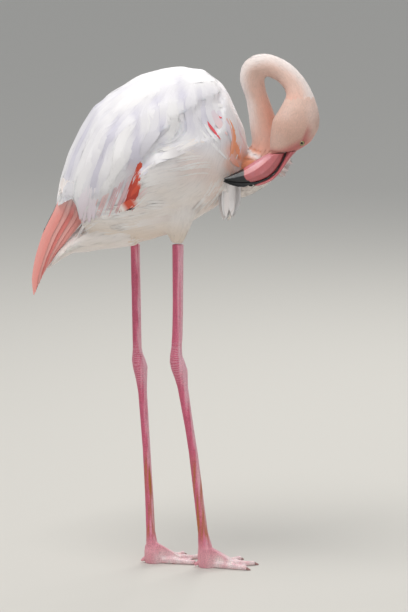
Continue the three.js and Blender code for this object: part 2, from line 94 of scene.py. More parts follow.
def new_material(name, roughness, **settings):
    """A node material and its shader. The settings are the shader's own sockets."""
    material = bpy.data.materials.new(name)
    material.use_nodes = True
    shader = material.node_tree.nodes["Principled BSDF"]
    shader.inputs["Roughness"].default_value = roughness
    for socket, value in settings.items():
        shader.inputs[socket.replace("_", " ").title().replace("Ior", "IOR")].default_value = value
    return material, shader


FLOOR_SIZE = 60
floor_bm = bmesh.new()
bmesh.ops.create_grid(floor_bm, x_segments=4, y_segments=4, size=FLOOR_SIZE / 2)
floor = mesh_object("floor", floor_bm)
floor_material, floor_shader = new_material("pale floor", 0.85)
floor_shader.inputs["Base Color"].default_value = (*srgb(204, 201, 194), 1)
floor.data.materials.append(floor_material)

world = bpy.data.worlds.new("studio")
bpy.context.scene.world = world
world.use_nodes = True
world.node_tree.nodes["Background"].inputs["Color"].default_value = (0.93, 0.96, 1, 1)
world.node_tree.nodes["Background"].inputs["Strength"].default_value = 0.52


def soft_light(name, place, energy, size, colour):
    """A square area light that looks at the bird's middle."""
    light = bpy.data.lights.new(name, "AREA")
    light.energy = energy
    light.size = size
    light.color = colour
    lamp = bpy.data.objects.new(name, light)
    lamp.location = place
    lamp.rotation_euler = (Vector((0, 0, 0.6)) - lamp.location).to_track_quat("-Z", "Y").to_euler()
    bpy.context.collection.objects.link(lamp)


soft_light("key", (-0.9, -0.9, 3.8), 78, 1.8, (1, 0.985, 0.96))
soft_light("back", (0.9, 2.2, 2.6), 40, 1.6, (1, 0.98, 0.95))
soft_light("fill", (1.8, -3.4, 1.3), 10, 2.4, (1, 0.98, 0.97))

# ---------------------------------------------------------------- skin of the body, neck and head
# One skin from the bill's base to the thighs and the tail: the flesh, and the down under the big feathers.
# It is fused from the solids and lies inside them by the depth of the coat that grows on it.

SKIN_VOXEL = 0.0026
FUSE = 0.0005  # the solids are grown by this much, so that they join
COAT_DEPTH = {
    "breast": 2.2, "rump": 2.4, "tail": 2.6, "breast_plumes": 5.0, "thigh_right": 2.0, "thigh_left": 2.0,
    "wing_right": 2.8, "wing_left": 2.8, "scapulars_right": 2.0, "scapulars_left": 2.0,
    "neck_root": 1.6, "neck_rise": 1.3, "neck_turn": 1.2, "neck_fall": 1.2, "head": 0.7,
}  # mm from each solid's outside in to the skin
BODY_NODES = list(COAT_DEPTH)


def fused(name, nodes, voxel, grow, filler=None):
    """One smooth closed surface round copies of some solids, grown a little, and round a filler if given."""
    bm = bmesh.new()
    for node in nodes:
        part = bmesh.new()
        part.from_mesh(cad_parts[node].data)
        bmesh.ops.remove_doubles(part, verts=part.verts, dist=1e-6)
        part.normal_update()
        for vert in part.verts:
            vert.co += vert.normal * grow
        copy = bpy.data.meshes.new("copy")
        part.to_mesh(copy)
        part.free()
        bm.from_mesh(copy)
        bpy.data.meshes.remove(copy)
    if filler:
        bm.from_mesh(filler)
    rough = mesh_object(name + "_rough", bm)
    remesh = rough.modifiers.new("fuse", "REMESH")
    remesh.mode = "VOXEL"
    remesh.voxel_size = voxel
    whole = bpy.data.meshes.new_from_object(rough.evaluated_get(bpy.context.evaluated_depsgraph_get()))
    bpy.data.objects.remove(rough)
    return whole


def eye_place(side):
    """The middle of an eye."""
    low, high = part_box(f"eye_{side}")
    return (low + high) / 2


EYE_RADIUS = 0.005
socket_bm = bmesh.new()
for side in SIDES:
    bmesh.ops.create_icosphere(
        socket_bm, subdivisions=3, radius=EYE_RADIUS * 0.9, matrix=Matrix.Translation(eye_place(side))
    )
sockets = bpy.data.meshes.new("sockets")
socket_bm.to_mesh(sockets)
socket_bm.free()

node_faces, node_points, node_of_face = [], [], []
for node in BODY_NODES:
    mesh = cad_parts[node].data
    start = len(node_points)
    node_points += [vert.co.copy() for vert in mesh.vertices]
    node_faces += [[start + v for v in face.vertices] for face in mesh.polygons]
    node_of_face += [node] * len(mesh.polygons)
node_tree = BVHTree.FromPolygons(node_points, node_faces)


def owners(points):
    """The name of the solid that is nearest to each point."""
    return np.array([node_of_face[node_tree.find_nearest(point)[2]] for point in points])


def coordinates(mesh):
    """The place of each vertex."""
    points = np.empty(len(mesh.vertices) * 3, np.float32)
    mesh.vertices.foreach_get("co", points)
    return points.reshape(-1, 3).astype(float)


def move_to(mesh, points):
    """Puts each vertex at its new place."""
    mesh.vertices.foreach_set("co", points.astype(np.float32).ravel())


def vertex_normals(mesh):
    normals = np.empty(len(mesh.vertices) * 3, np.float32)
    mesh.vertex_normals.foreach_get("vector", normals)
    return normals.reshape(-1, 3).astype(float)


def unit(vectors):
    """Vectors of the same ways, one long."""
    return vectors / (np.linalg.norm(vectors, axis=-1, keepdims=True) + 1e-12)


def spread(mesh, values, rounds):
    """Evens out one value for each vertex over its neighbours."""
    ends = np.empty(len(mesh.edges) * 2, np.int32)
    mesh.edges.foreach_get("vertices", ends)
    first, second = ends.reshape(-1, 2).T
    count = np.bincount(ends, minlength=len(values))
    for _ in range(rounds):
        total = np.bincount(first, values[second], len(values))
        total += np.bincount(second, values[first], len(values))
        values = 0.5 * values + 0.5 * total / count
    return values


def smooth(bm, rounds):
    """Evens out the vertices of a bmesh over their neighbours."""
    axes = {f"use_axis_{axis}": True for axis in "xyz"}
    for _ in range(rounds):
        bmesh.ops.smooth_vert(bm, verts=bm.verts, factor=0.5, **axes)


HEAD_TOP = 0.812  # m, over which the skin needs no finer mesh
HEAD_MARGIN = 0.004  # round the head's box, within which its edges are looked for

skin_bm = bmesh.new()
skin_bm.from_mesh(fused("skin", BODY_NODES, SKIN_VOXEL, FUSE, sockets))
smooth(skin_bm, 1)
head_low, head_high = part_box("head")
near_head = [
    edge
    for edge in skin_bm.edges
    if all(
        vert.co.x > head_low.x - HEAD_MARGIN
        and vert.co.y < head_high.y + HEAD_MARGIN
        and vert.co.z < HEAD_TOP
        for vert in edge.verts
    )
]
first_places = [edge.verts[0].co for edge in near_head]
head_edges = {edge for edge, owner in zip(near_head, owners(first_places)) if owner == "head"}
bmesh.ops.subdivide_edges(skin_bm, edges=list(head_edges), cuts=1, use_grid_fill=True)
smooth(skin_bm, 5)
skin = mesh_object("skin", skin_bm)
skin_owner = owners([vert.co for vert in skin.data.vertices])
skin_depth = np.array([COAT_DEPTH[node] for node in skin_owner]) / 1000

# The line where the face's feathers stop, in the side view in mm.
BARE_FACE = [(109, 719), (127, 721), (136, 725), (146, 730), (162, 738), (172, 760)]
BARE_DEPTH = 0.0001  # bare skin lies this far inside its solid
LID_DEPTH = 0.0002  # and the skin close round the eye this far
LID_REACH = 1.6  # eye radii


def over_face_line(points):
    """How far each point lies over the edge of the bare face, in metres."""
    line = np.array([mm(x, 0, z) for x, z in BARE_FACE])
    return points[:, 2] - np.interp(points[:, 0], line[:, 0], line[:, 2])


HOLLOWS = [
    [(-113, 789), (-111, 746), (-113, 703)],
    [(-80, 809), (-70, 760), (-67, 722)],
    [(-42, 838), (-33, 800), (-26, 760)],
    [(-144, 780), (-170, 715), (-182, 657)],
    [(-172, 803), (-207, 726), (-227, 674)],
    [(-8, 820), (-2, 795), (2, 772)],
    [(-96, 700), (-70, 703), (-40, 708)],
]  # the deepest valleys between locks of the wing's feathers, in the side view in mm
HOLLOW_WIDTH = 7
HANG = np.array((-0.3, 0, -0.954))  # the mean way of the wing's feathers
RELIEF = 1.6  # mm that the locks' crests stand over their valleys, on each side of the mean


def stroke(points, ends, radius):
    """1 on a line between two places of the side view, falling away over the radius, all in mm."""
    start, end = (np.array(mm(x, 0, z))[[0, 2]] for x, z in ends)
    flat = points[:, [0, 2]]
    along = np.clip(((flat - start) @ (end - start)) / ((end - start) @ (end - start)), 0, 1)
    away = np.linalg.norm(flat - start - along[:, None] * (end - start), axis=1)
    return np.exp(-((away / (radius / 1000)) ** 2))


def cloud(points, size, seed=0):
    """Smooth noise between about -1 and 1, with features of a size in mm."""
    shift = Vector((seed, 7.1, 3.3))
    return np.array([noise.noise(Vector(point) * (1000 / size) + shift) for point in points]) * 1.6


def near_line(points, line, radius):
    """1 on a bent line of the side view, falling away over the radius, all in mm."""
    return np.max([stroke(points, ends, radius) for ends in zip(line, line[1:])], 0)


def folds(points, size=24, seed=5):
    """Noise drawn out along the hang of the feathers, so that neighbours rise and sink in long locks."""
    return cloud(points - 0.8 * (points @ HANG)[:, None] * HANG, size, seed)


def hollows(points):
    """1 in the deepest valleys of the wing and 0 away from them."""
    return np.max([near_line(points, line, HOLLOW_WIDTH) for line in HOLLOWS], 0)


skin_points = coordinates(skin.data)
bare = (skin_owner == "head") & (over_face_line(skin_points) < 0)
skin_depth[bare] = BARE_DEPTH
skin_depth = spread(skin.data, skin_depth, 6)
for place in map(eye_place, SIDES):
    near_eye = np.linalg.norm(skin_points - np.array(place), axis=1) < EYE_RADIUS * LID_REACH
    skin_depth[near_eye] = LID_DEPTH
on_wings = np.char.startswith(skin_owner, "wing") | np.char.startswith(skin_owner, "scapulars")
relief = np.clip(folds(skin_points), -0.7, 0.8) - 0.9 * hollows(skin_points)
relief = spread(skin.data, np.where(on_wings, relief, 0.7 * cloud(skin_points, 30, 9)), 4)
on_neck = np.char.startswith(skin_owner, "neck") | (skin_owner == "head")
skin_depth -= RELIEF / 1000 * spread(skin.data, np.where(on_neck, 0, relief), 2)
skin_points -= vertex_normals(skin.data) * (skin_depth + FUSE)[:, None]
move_to(skin.data, skin_points)
skin.data.polygons.foreach_set("use_smooth", [True] * len(skin.data.polygons))
skin.data.update()

# ---------------------------------------------------------------- colours of the plumage
# White over the back and wings with painted lilac shade in the hollows, cream under the belly and painted tan
# shade beneath it, peach on the neck, rosier inside its loop partly as painted shade, with a painted
# highlight outside it, rose round the bill's base and red where the wing coverts show. Skin and feathers
# share their markings.

WHITE = srgb(254, 251, 251)
# The lilac is painted shade, for the valleys between the wing's locks and the roots of feathers tucked under
# others.
LILAC_SHADE = srgb(222, 218, 230)
CREAM = srgb(250, 240, 232)
# The tan is painted shade under the belly.
TAN_SHADE = srgb(238, 219, 200)
PEACH = srgb(240, 204, 188)
# The pale neck colour is a painted rim highlight along the outside of the neck's loop, and a little pale at
# random.
PALE_NECK_HIGHLIGHT = srgb(254, 240, 234)
# The deeper rose is partly the neck's own colour and partly painted shade inside the loop.
NECK_ROSE_SHADE = srgb(240, 172, 148)
APRICOT = srgb(250, 166, 122)
# The cheek colour is partly painted shade over the lower head.
CHEEK_SHADE = srgb(218, 176, 158)
LORE = srgb(204, 120, 114)
FLUSH = srgb(232, 128, 118)
COVERT_RED = srgb(228, 92, 66)

COVERT_WEDGE = [
    (-107, 706), (-112, 690), (-118, 665), (-128, 640), (-138, 623),
    (-126, 624), (-114, 631), (-109, 648), (-106, 674),
]  # the outline of the red coverts that show between wing and flank, in the side view in mm


def blend(first, second, share):
    """Goes from the first colours to the second by a share for each point."""
    share = np.clip(share, 0, 1)[:, None]
    return first * (1 - share) + second * share


def rise(values, low, high):
    """0 under low, 1 over high and smooth between, as a share for each value. Low may be over high."""
    t = np.clip((values - low) / (high - low), 0, 1)
    return t * t * (3 - 2 * t)


def inside(points, outline):
    """Whether each point lies within an outline of the side view, given in mm."""
    corners = np.array([mm(x, 0, z) for x, z in outline])[:, [0, 2]]
    x, z = points[:, 0], points[:, 2]
    odd = np.zeros(len(points), bool)
    for (ax, az), (bx, bz) in zip(corners, np.roll(corners, -1, 0)):
        crosses = (az > z) != (bz > z)
        odd ^= crosses & (x < (bx - ax) * (z - az) / (bz - az + 1e-12) + ax)
    return odd


# The middle of the neck from its root to the head, in the bird's own mm. Its feathers point back along it.
NECK_LINE = [
    (28, 0, 690), (52, 0, 678), (70, 0, 675), (86, 0, 683), (102, 1, 697), (109.5, 2, 717), (101, 4, 757),
    (91, 3, 797), (83.5, 1, 819), (80.5, -2, 838), (86, -6, 853), (103, -12, 860), (127, -19, 852),
    (142.5, -26, 840), (154, -32, 824.5), (159.5, -38, 809), (158, -43, 790), (153.6, -45.5, 772),
    (151, -47.5, 757), (147, -48.5, 745), (143.6, -49, 735), (138.4, -49.5, 727), (132.4, -50, 719.6),
]
NECK_STEPS = 5  # places on the line for each of its points
neck_knots = np.array([mm(*point) for point in NECK_LINE])
neck_share = np.linspace(0, len(NECK_LINE) - 1, (len(NECK_LINE) - 1) * NECK_STEPS + 1)
neck_points = np.stack([np.interp(neck_share, range(len(NECK_LINE)), knots) for knots in neck_knots.T], 1)
neck_ways = np.pad(-np.gradient(neck_points, axis=0), ((NECK_STEPS, NECK_STEPS), (0, 0)), "edge")
even = np.ones(2 * NECK_STEPS + 1) / (2 * NECK_STEPS + 1)
neck_ways = np.stack([np.convolve(way, even, "valid") for way in neck_ways.T], 1)
neck_ways /= np.linalg.norm(neck_ways, axis=1)[:, None]
neck_reach = np.concatenate([[0], np.cumsum(np.linalg.norm(np.diff(neck_points, axis=0), axis=1))])


def nearest_on_neck(points):
    """Soft shares of the neck line's points for each place."""
    away = np.linalg.norm(points[:, None] - neck_points[None], axis=2)
    weight = (away + 1e-4) ** -8.0
    return weight / weight.sum(1)[:, None]


NECK_HOLE = mm(118, -15, 812)  # the middle of the opening inside the neck's loop
NECK_HALF = 0.022  # half the neck's thickness


def outer_side(points):
    """How far each point of the neck faces away from its loop's opening, from about -1 to 1."""
    centre = nearest_on_neck(points) @ neck_points
    away = centre - np.array(NECK_HOLE)
    away[:, 1] = 0
    away /= np.linalg.norm(away, axis=1)[:, None]
    return ((points - centre) * away).sum(1) / NECK_HALF


def plumage_colour(points, owner):
    """The colour of the coat and of the skin under it at each point, which belongs to the named solid."""
    height = points[:, 2] * 1000
    ahead = (points[:, 0] - ZERO_X) * 1000
    patchy = cloud(points, 26)
    on_wing = (np.char.startswith(owner, "wing") | np.char.startswith(owner, "scapulars")).astype(float)
    on_neck = (np.char.startswith(owner, "neck") | (owner == "head")).astype(float)
    on_head = (owner == "head").astype(float)
    on_root = (owner == "neck_root").astype(float)
    on_breast = owner == "breast"

    # White with painted lilac shade in the wing's valleys and a faint lilac at random elsewhere, cream
    # towards the belly and painted tan shade under it.
    deep = np.clip(0.22 - 0.5 * folds(points), 0, 1) * rise(height, 860, 790) + 0.6 * hollows(points)
    colour = blend(WHITE, LILAC_SHADE, on_wing * deep + (1 - on_wing) * (0.12 + 0.2 * patchy))
    colour = blend(colour, CREAM, (1 - on_wing) * rise(height, 740, 640) * (0.8 + 0.2 * patchy))
    # Painted tan shade over the underside of the belly, darker towards the bottom.
    colour = blend(colour, TAN_SHADE, (1 - on_wing) * (owner != "tail") * rise(height, 612, 566) * 0.8)

    # The neck is peach, rosier inside its loop, partly its own colour and partly painted shade, with a
    # painted highlight along the outside of the loop. The cheeks are duller, partly painted shade.
    outer = outer_side(points)
    rosy = 0.85 * rise(height, 850, 770) * rise(outer, 0.5, -0.5) * (1 - on_head)
    neck_colour = blend(PEACH, NECK_ROSE_SHADE, rosy)
    neck_colour = blend(neck_colour, CHEEK_SHADE, on_head * rise(height, 815, 750) * 0.9)
    neck_colour = blend(neck_colour, PALE_NECK_HIGHLIGHT, rise(outer, 0, 0.8) * (1 - 0.85 * on_head) + 0.12 * patchy)
    colour = blend(colour, neck_colour, on_neck)

    # Orange at the neck's root, which runs on over the breast, with a painted white highlight over it and
    # cream below.
    colour = blend(colour, APRICOT, 0.95 * on_root * rise(height, 668, 690) * rise(ahead, 106, 76))
    # Painted highlight where the sunlit edge of the neck meets the shoulder.
    colour = blend(colour, WHITE, on_root * near_line(points, [(68, 722), (78, 710), (92, 704)], 5))
    colour = blend(colour, CREAM, on_root * rise(height, 680, 664))
    band = near_line(points, [(49, 722), (60, 706), (80, 694)], 13)
    band = np.maximum(band, 0.7 * near_line(points, [(40, 700), (47, 682), (66, 668)], 8))
    colour = blend(colour, APRICOT, 0.85 * band * on_breast)
    blush = near_line(points, [(-20, 700), (10, 690), (30, 660), (20, 630)], 26)
    colour = blend(colour, PEACH, 0.45 * blush * on_breast)

    # The bare face is rose, and it is flushed before the eye.
    line = over_face_line(points) * 1000
    colour = blend(colour, LORE, on_head * rise(line, 10, -5) * rise(ahead, 184, 164))
    flush = near_line(points, [(194, 750), (182, 740), (168, 729)], 6)
    colour = blend(colour, FLUSH, on_head * 0.4 * flush)

    # Red coverts under the wing's edge, and a red cast along the edge behind them.
    colour = blend(colour, COVERT_RED, inside(points, COVERT_WEDGE).astype(float))
    fringe = near_line(points, [(-113, 700), (-130, 655), (-150, 618), (-185, 603), (-206, 602)], 5)
    return blend(colour, COVERT_RED, 0.22 * fringe * on_wing)


def paint(mesh, colours):
    """Keeps a colour for each vertex in the attribute that the materials read."""
    tint = mesh.attributes.new("tint", "FLOAT_COLOR", "POINT")
    opaque = np.hstack([colours, np.ones((len(colours), 1))])
    tint.data.foreach_set("color", opaque.astype(np.float32).ravel())


def link(material, output, target):
    """Joins two sockets of a material's nodes."""
    material.node_tree.links.new(output, target)


def add_node(material, kind, **settings):
    """A new node of a material. The settings are its sockets or, where it has none so named, its choices."""
    node = material.node_tree.nodes.new(kind)
    for key, value in settings.items():
        if key in node.inputs:
            node.inputs[key].default_value = value
        else:
            setattr(node, key, value)
    return node


def darkened(material, shader, colour, factor, share):
    """Colours the shader with one output, darkened by another as far as the share says."""
    mix = add_node(material, "ShaderNodeMix", data_type="RGBA", blend_type="MULTIPLY")
    mix.inputs[0].default_value = share
    link(material, colour, mix.inputs[6])
    link(material, factor, mix.inputs[7])
    link(material, mix.outputs[2], shader.inputs["Base Color"])


def bumped(material, shader, height, strength, distance):
    """Gives the shader fine relief from one output."""
    bump = add_node(material, "ShaderNodeBump", Strength=strength, Distance=distance)
    link(material, height, bump.inputs["Height"])
    link(material, bump.outputs["Normal"], shader.inputs["Normal"])


def skin_material():
    """Matt skin with fine pimples where feathers grow, coloured by the tint."""
    material, shader = new_material("feathered skin", 0.6, sheen_weight=0.25, subsurface_weight=0.06)
    tint = add_node(material, "ShaderNodeAttribute", attribute_name="tint")
    coords = add_node(material, "ShaderNodeTexCoord")
    pimples = add_node(material, "ShaderNodeTexVoronoi", Scale=900)
    patches = add_node(material, "ShaderNodeTexNoise", Scale=160, Detail=4)
    link(material, coords.outputs["Object"], pimples.inputs["Vector"])
    link(material, coords.outputs["Object"], patches.inputs["Vector"])
    darkened(material, shader, tint.outputs["Color"], patches.outputs["Fac"], 0.25)
    bumped(material, shader, pimples.outputs["Distance"], 0.35, 0.0004)
    return material


paint(skin.data, plumage_colour(skin_points, skin_owner))
skin.data.materials.append(skin_material())
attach(skin, "root")
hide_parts("breast", "rump", "neck_root", "neck_rise", "neck_turn", "neck_fall", "head")
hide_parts("thigh_right", "thigh_left")

# ---------------------------------------------------------------- how feathers are made and laid
# Every feather is a thin closed vane, arched over its shaft and ragged at its end. It is traced from its tip
# back against the lie of the coat, close to the skin, so that each one lies over the roots of the next.


def smooth_faces(mesh):
    """The middle, the evened normal and the area of each face."""
    count = len(mesh.polygons)
    centres = np.empty(count * 3, np.float32)
    mesh.polygons.foreach_get("center", centres)
    areas = np.empty(count, np.float32)
    mesh.polygons.foreach_get("area", areas)
    normals = vertex_normals(mesh)
    normals = np.stack([spread(mesh, normals[:, axis], 12) for axis in range(3)], 1)
    per_face = np.array([normals[list(face.vertices)].mean(0) for face in mesh.polygons])
    per_face /= np.linalg.norm(per_face, axis=1)[:, None]
    return centres.reshape(-1, 3).astype(float), per_face, areas.astype(float)


def face_tree(mesh):
    """For finding the nearest place of a mesh."""
    corners = [face.vertices for face in mesh.polygons]
    return BVHTree.FromPolygons([vert.co for vert in mesh.vertices], corners)


skin_tree = face_tree(skin.data)
face_centres, face_normals, face_areas = smooth_faces(skin.data)
face_owner = np.array([skin_owner[face.vertices[0]] for face in skin.data.polygons])


def press(points):
    """The nearest places on the skin, and its evened normals there."""
    found = [skin_tree.find_nearest(point) for point in points]
    return np.array([place for place, _, _, _ in found]), face_normals[[face for _, _, face, _ in found]]


def scatter(chosen, spacing, rng, lie, stretch=1.0):
    """Random places on the chosen faces, none closer together across the lie than the spacing, which may
    differ by face, or along the lie than stretch times the spacing."""
    spacing = np.broadcast_to(spacing, len(face_centres))
    weight = np.where(chosen, face_areas / spacing**2, 0)
    tries = rng.choice(len(weight), int(weight.sum() * 6 / stretch), p=weight / weight.sum())
    jitter = rng.uniform(-0.5, 0.5, (len(tries), 3)) * np.sqrt(face_areas[tries])[:, None]
    places = face_centres[tries] + jitter
    ways = unit(lie(places))
    reach = spacing[chosen].max() * stretch
    cells = np.floor(places / reach).astype(int)
    taken, kept = {}, []
    for number, (place, way, cell) in enumerate(zip(places, ways, map(tuple, cells))):
        around = [
            other
            for dx in (-1, 0, 1)
            for dy in (-1, 0, 1)
            for dz in (-1, 0, 1)
            for other in taken.get((cell[0] + dx, cell[1] + dy, cell[2] + dz), ())
        ]
        if around:
            away = places[around] - place
            along = away @ way
            apart = (away**2).sum(1) - along**2 + (along / stretch) ** 2
            if apart.min() < spacing[tries[number]] ** 2:
                continue
        taken.setdefault(cell, []).append(number)
        kept.append(number)
    return places[kept]


def traced(tips, lengths, lie, rows):
    """Spines over the skin from each tip back against the lie: places and normals, root first."""
    place, normal = press(tips)
    places, normals = [place], [normal]
    for _ in range(rows):
        heading = lie(place)
        heading -= normal * (heading * normal).sum(1)[:, None]
        heading /= np.linalg.norm(heading, axis=1)[:, None] + 1e-9
        place, normal = press(place - heading * (lengths / rows)[:, None])
        places.append(place)
        normals.append(normal)
    return np.stack(places[::-1], 1), np.stack(normals[::-1], 1)


def vane_width(v, point):
    """A feather's half width along its length, as a share of the widest. More point makes a narrower end."""
    body = np.sin(np.pi * np.clip(0.16 + 0.62 * v, 0, 1)) ** 0.7
    return body * np.sqrt(np.clip(1 - np.clip((v - 1 + point) / (point * 1.03), 0, 1) ** 2, 0.02, 1))


PATCH = 0.003  # how far a feather reaches across the flat map of the skin


def split_grid(net):
    """Triangles over a grid of vertex numbers. Each corner is split towards the middle, so that the two sides
    of a thin vane share no triangle."""
    a, b, c, d = net[:-1, :-1], net[:-1, 1:], net[1:, 1:], net[1:, :-1]
    row, column = np.indices(a.shape)
    through_a = (column < a.shape[1] / 2) == (row < a.shape[0] / 2)
    first = np.where(through_a, [a, b, c], [a, b, d])
    second = np.where(through_a, [a, c, d], [b, c, d])
    return np.concatenate([first, second], 1).reshape(3, -1).T


def vanes(
    name, spines, normals, half_widths, colours, rng, uv, columns=2, lift=(-0.001, 0.003), arch=0.3,
    ragged=0.6, point=0.5, thickness=0.0004, softness=0.4,
):
    """One mesh of many feathers, with a colour for each ring of each one and the uv of its root. Lift is the
    height of root and tip over the skin, arch that of the shaft as a share of the half width, ragged the
    depth of the torn end in half widths, point the length of the narrow end, and softness how far the shading
    follows the skin."""
    count, rings, _ = spines.shape
    v = np.linspace(0, 1, rings)
    u = np.linspace(-1, 1, columns + 1)
    ahead = unit(np.gradient(spines, axis=1))
    aside = unit(np.cross(normals, ahead))
    out = np.cross(ahead, aside)
    half = half_widths[:, None] * vane_width(v, point)[None, :]
    tips = rng.uniform(-1, 0.4, (count, columns + 1)) * ragged * half_widths[:, None]
    height = lift[0] + (lift[1] - lift[0]) * v**0.8
    height = height[None, :] * rng.uniform(0.85, 1.1, (count, 1))
    arched = arch * half[:, :, None] * (1 - u**2)[None, None, :]
    top = (
        spines[:, :, None]
        + aside[:, :, None] * (half[:, :, None] * u)[..., None]
        + out[:, :, None] * (height[:, :, None] + arched)[..., None]
        + ahead[:, :, None] * (tips[:, None, :] * v[None, :, None] ** 4)[..., None]
    )
    below = top[:, 1:-1, 1:-1] - out[:, 1:-1, None] * thickness
    own = unit(np.cross(np.gradient(top, axis=1), np.gradient(top, axis=2)))
    own *= np.sign((own * out[:, :, None]).sum(-1, keepdims=True) + 1e-9)
    shading = unit(own * (1 - softness) + unit(normals)[:, :, None] * softness)
    under = np.broadcast_to(-out[:, 1:-1, None], below.shape)
    grid = np.arange(rings * (columns + 1)).reshape(rings, columns + 1)
    back = grid.copy()
    inner = (rings - 2) * (columns - 1)
    back[1:-1, 1:-1] = grid.size + np.arange(inner).reshape(rings - 2, columns - 1)
    one = np.vstack([split_grid(grid)[:, ::-1], split_grid(back)])
    size = grid.size + inner
    points = np.concatenate([top.reshape(count, -1, 3), below.reshape(count, -1, 3)], 1)
    directions = np.concatenate([shading.reshape(count, -1, 3), under.reshape(count, -1, 3)], 1)
    faces = (one[None] + (np.arange(count) * size)[:, None, None]).reshape(-1, 3)
    mesh = bpy.data.meshes.new(name)
    mesh.vertices.add(count * size)
    mesh.vertices.foreach_set("co", points.astype(np.float32).ravel())
    mesh.loops.add(faces.size)
    mesh.loops.foreach_set("vertex_index", faces.astype(np.int32).ravel())
    mesh.polygons.add(len(faces))
    mesh.polygons.foreach_set("loop_start", np.arange(len(faces), dtype=np.int32) * 3)
    mesh.polygons.foreach_set("use_smooth", np.ones(len(faces), bool))
    mesh.update(calc_edges=True)
    mesh.normals_split_custom_set_from_vertices(directions.reshape(-1, 3))
    pattern = np.stack(np.broadcast_arrays(u[None, :], v[:, None]), 2)
    pattern = np.vstack([pattern.reshape(-1, 2), pattern[1:-1, 1:-1].reshape(-1, 2)])
    chance = np.broadcast_to(rng.uniform(0, 1, (count, 1, 1)), (count, size, 1))
    vane = np.concatenate([np.broadcast_to(pattern, (count, size, 2)), chance], 2)
    attribute = mesh.attributes.new("vane", "FLOAT_VECTOR", "POINT")
    attribute.data.foreach_set("vector", vane.astype(np.float32).ravel())
    on_top = np.repeat(colours, columns + 1, 1)
    on_back = np.repeat(colours[:, 1:-1], columns - 1, 1)
    paint(mesh, np.concatenate([on_top, on_back], 1).reshape(-1, 3))
    patch = uv[:, None] + (pattern[None] - (0, 0.5)) * (PATCH / 2, PATCH)
    layer = mesh.uv_layers.new(name="OFBake")
    layer.data.foreach_set("uv", patch.reshape(-1, 2)[faces.ravel()].astype(np.float32).ravel())
    piece = bpy.data.objects.new(name, mesh)
    bpy.context.collection.objects.link(piece)
    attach(piece, "root")
    return piece


TRUNK_FRONT = np.array(mm(75, 0, 725))
TRUNK_PITCH = math.radians(29.4)
TRUNK_BACK = np.array((-math.cos(TRUNK_PITCH), 0, -math.sin(TRUNK_PITCH)))
TRUNK_LENGTH = 0.45  # back from the front, which the flat map holds
TRUNK_AHEAD = 0.1  # and forward of it


def trunk_unwrap(points):
    """A flat map of the trunk: round it and along it."""
    from_front = points - TRUNK_FRONT
    along = from_front @ TRUNK_BACK
    rest = from_front - along[:, None] * TRUNK_BACK
    around = np.arctan2(rest[:, 1], rest[:, 2])
    flat = np.stack([around / (2 * math.pi) + 0.5, (along + TRUNK_AHEAD) / (TRUNK_LENGTH + TRUNK_AHEAD)], 1)
    return 0.02 + 0.96 * np.clip(flat, 0, 1)


# The lie of the trunk's feathers: places of the side view in mm, and degrees from hanging straight down,
# towards the tail.
LIE = [
    (20, 842, 30), (-2, 852, 70), (-36, 857, 84), (-69, 854, 74), (-106, 843, 62),
    (-150, 819, 50), (-186, 791, 40), (-210, 752, 30), (-230, 712, 22), (-243, 668, 14),
    (35, 800, 2), (48, 770, -8), (-156, 774, 36), (-181, 725, 24), (-189, 667, 14),
    (-131, 725, 8), (-143, 658, 18), (-90, 782, -2), (-65, 823, 12), (-48, 774, -8),
    (-7, 815, 2), (2, 757, -30), (18, 823, -6), (-222, 640, 10), (-25, 730, 72),
    (-65, 725, 80), (-65, 690, 80), (18, 675, 32), (43, 724, 8), (51, 640, 24),
    (-7, 633, 58), (-56, 617, 74), (-106, 617, 86), (-143, 610, 82), (-156, 584, 74),
    (-206, 576, 62), (-247, 526, 48), (-90, 579, 84),
]
LIE_PLACES = np.array([mm(x, 0, z) for x, z, _ in LIE])[:, [0, 2]]
LIE_ANGLES = np.radians([angle for _, _, angle in LIE])
WANDER = math.radians(13)  # that single feathers stray from the lie


def trunk_lie(points):
    """The way that feathers point at places on the trunk."""
    away = np.linalg.norm(points[:, None, [0, 2]] - LIE_PLACES[None], axis=2) + 1e-4
    weight = away**-3.0
    angle = (weight * LIE_ANGLES).sum(1) / weight.sum(1) + WANDER * cloud(points, 34, 5)
    return np.stack([-np.sin(angle), np.zeros(len(points)), -np.cos(angle)], 1)


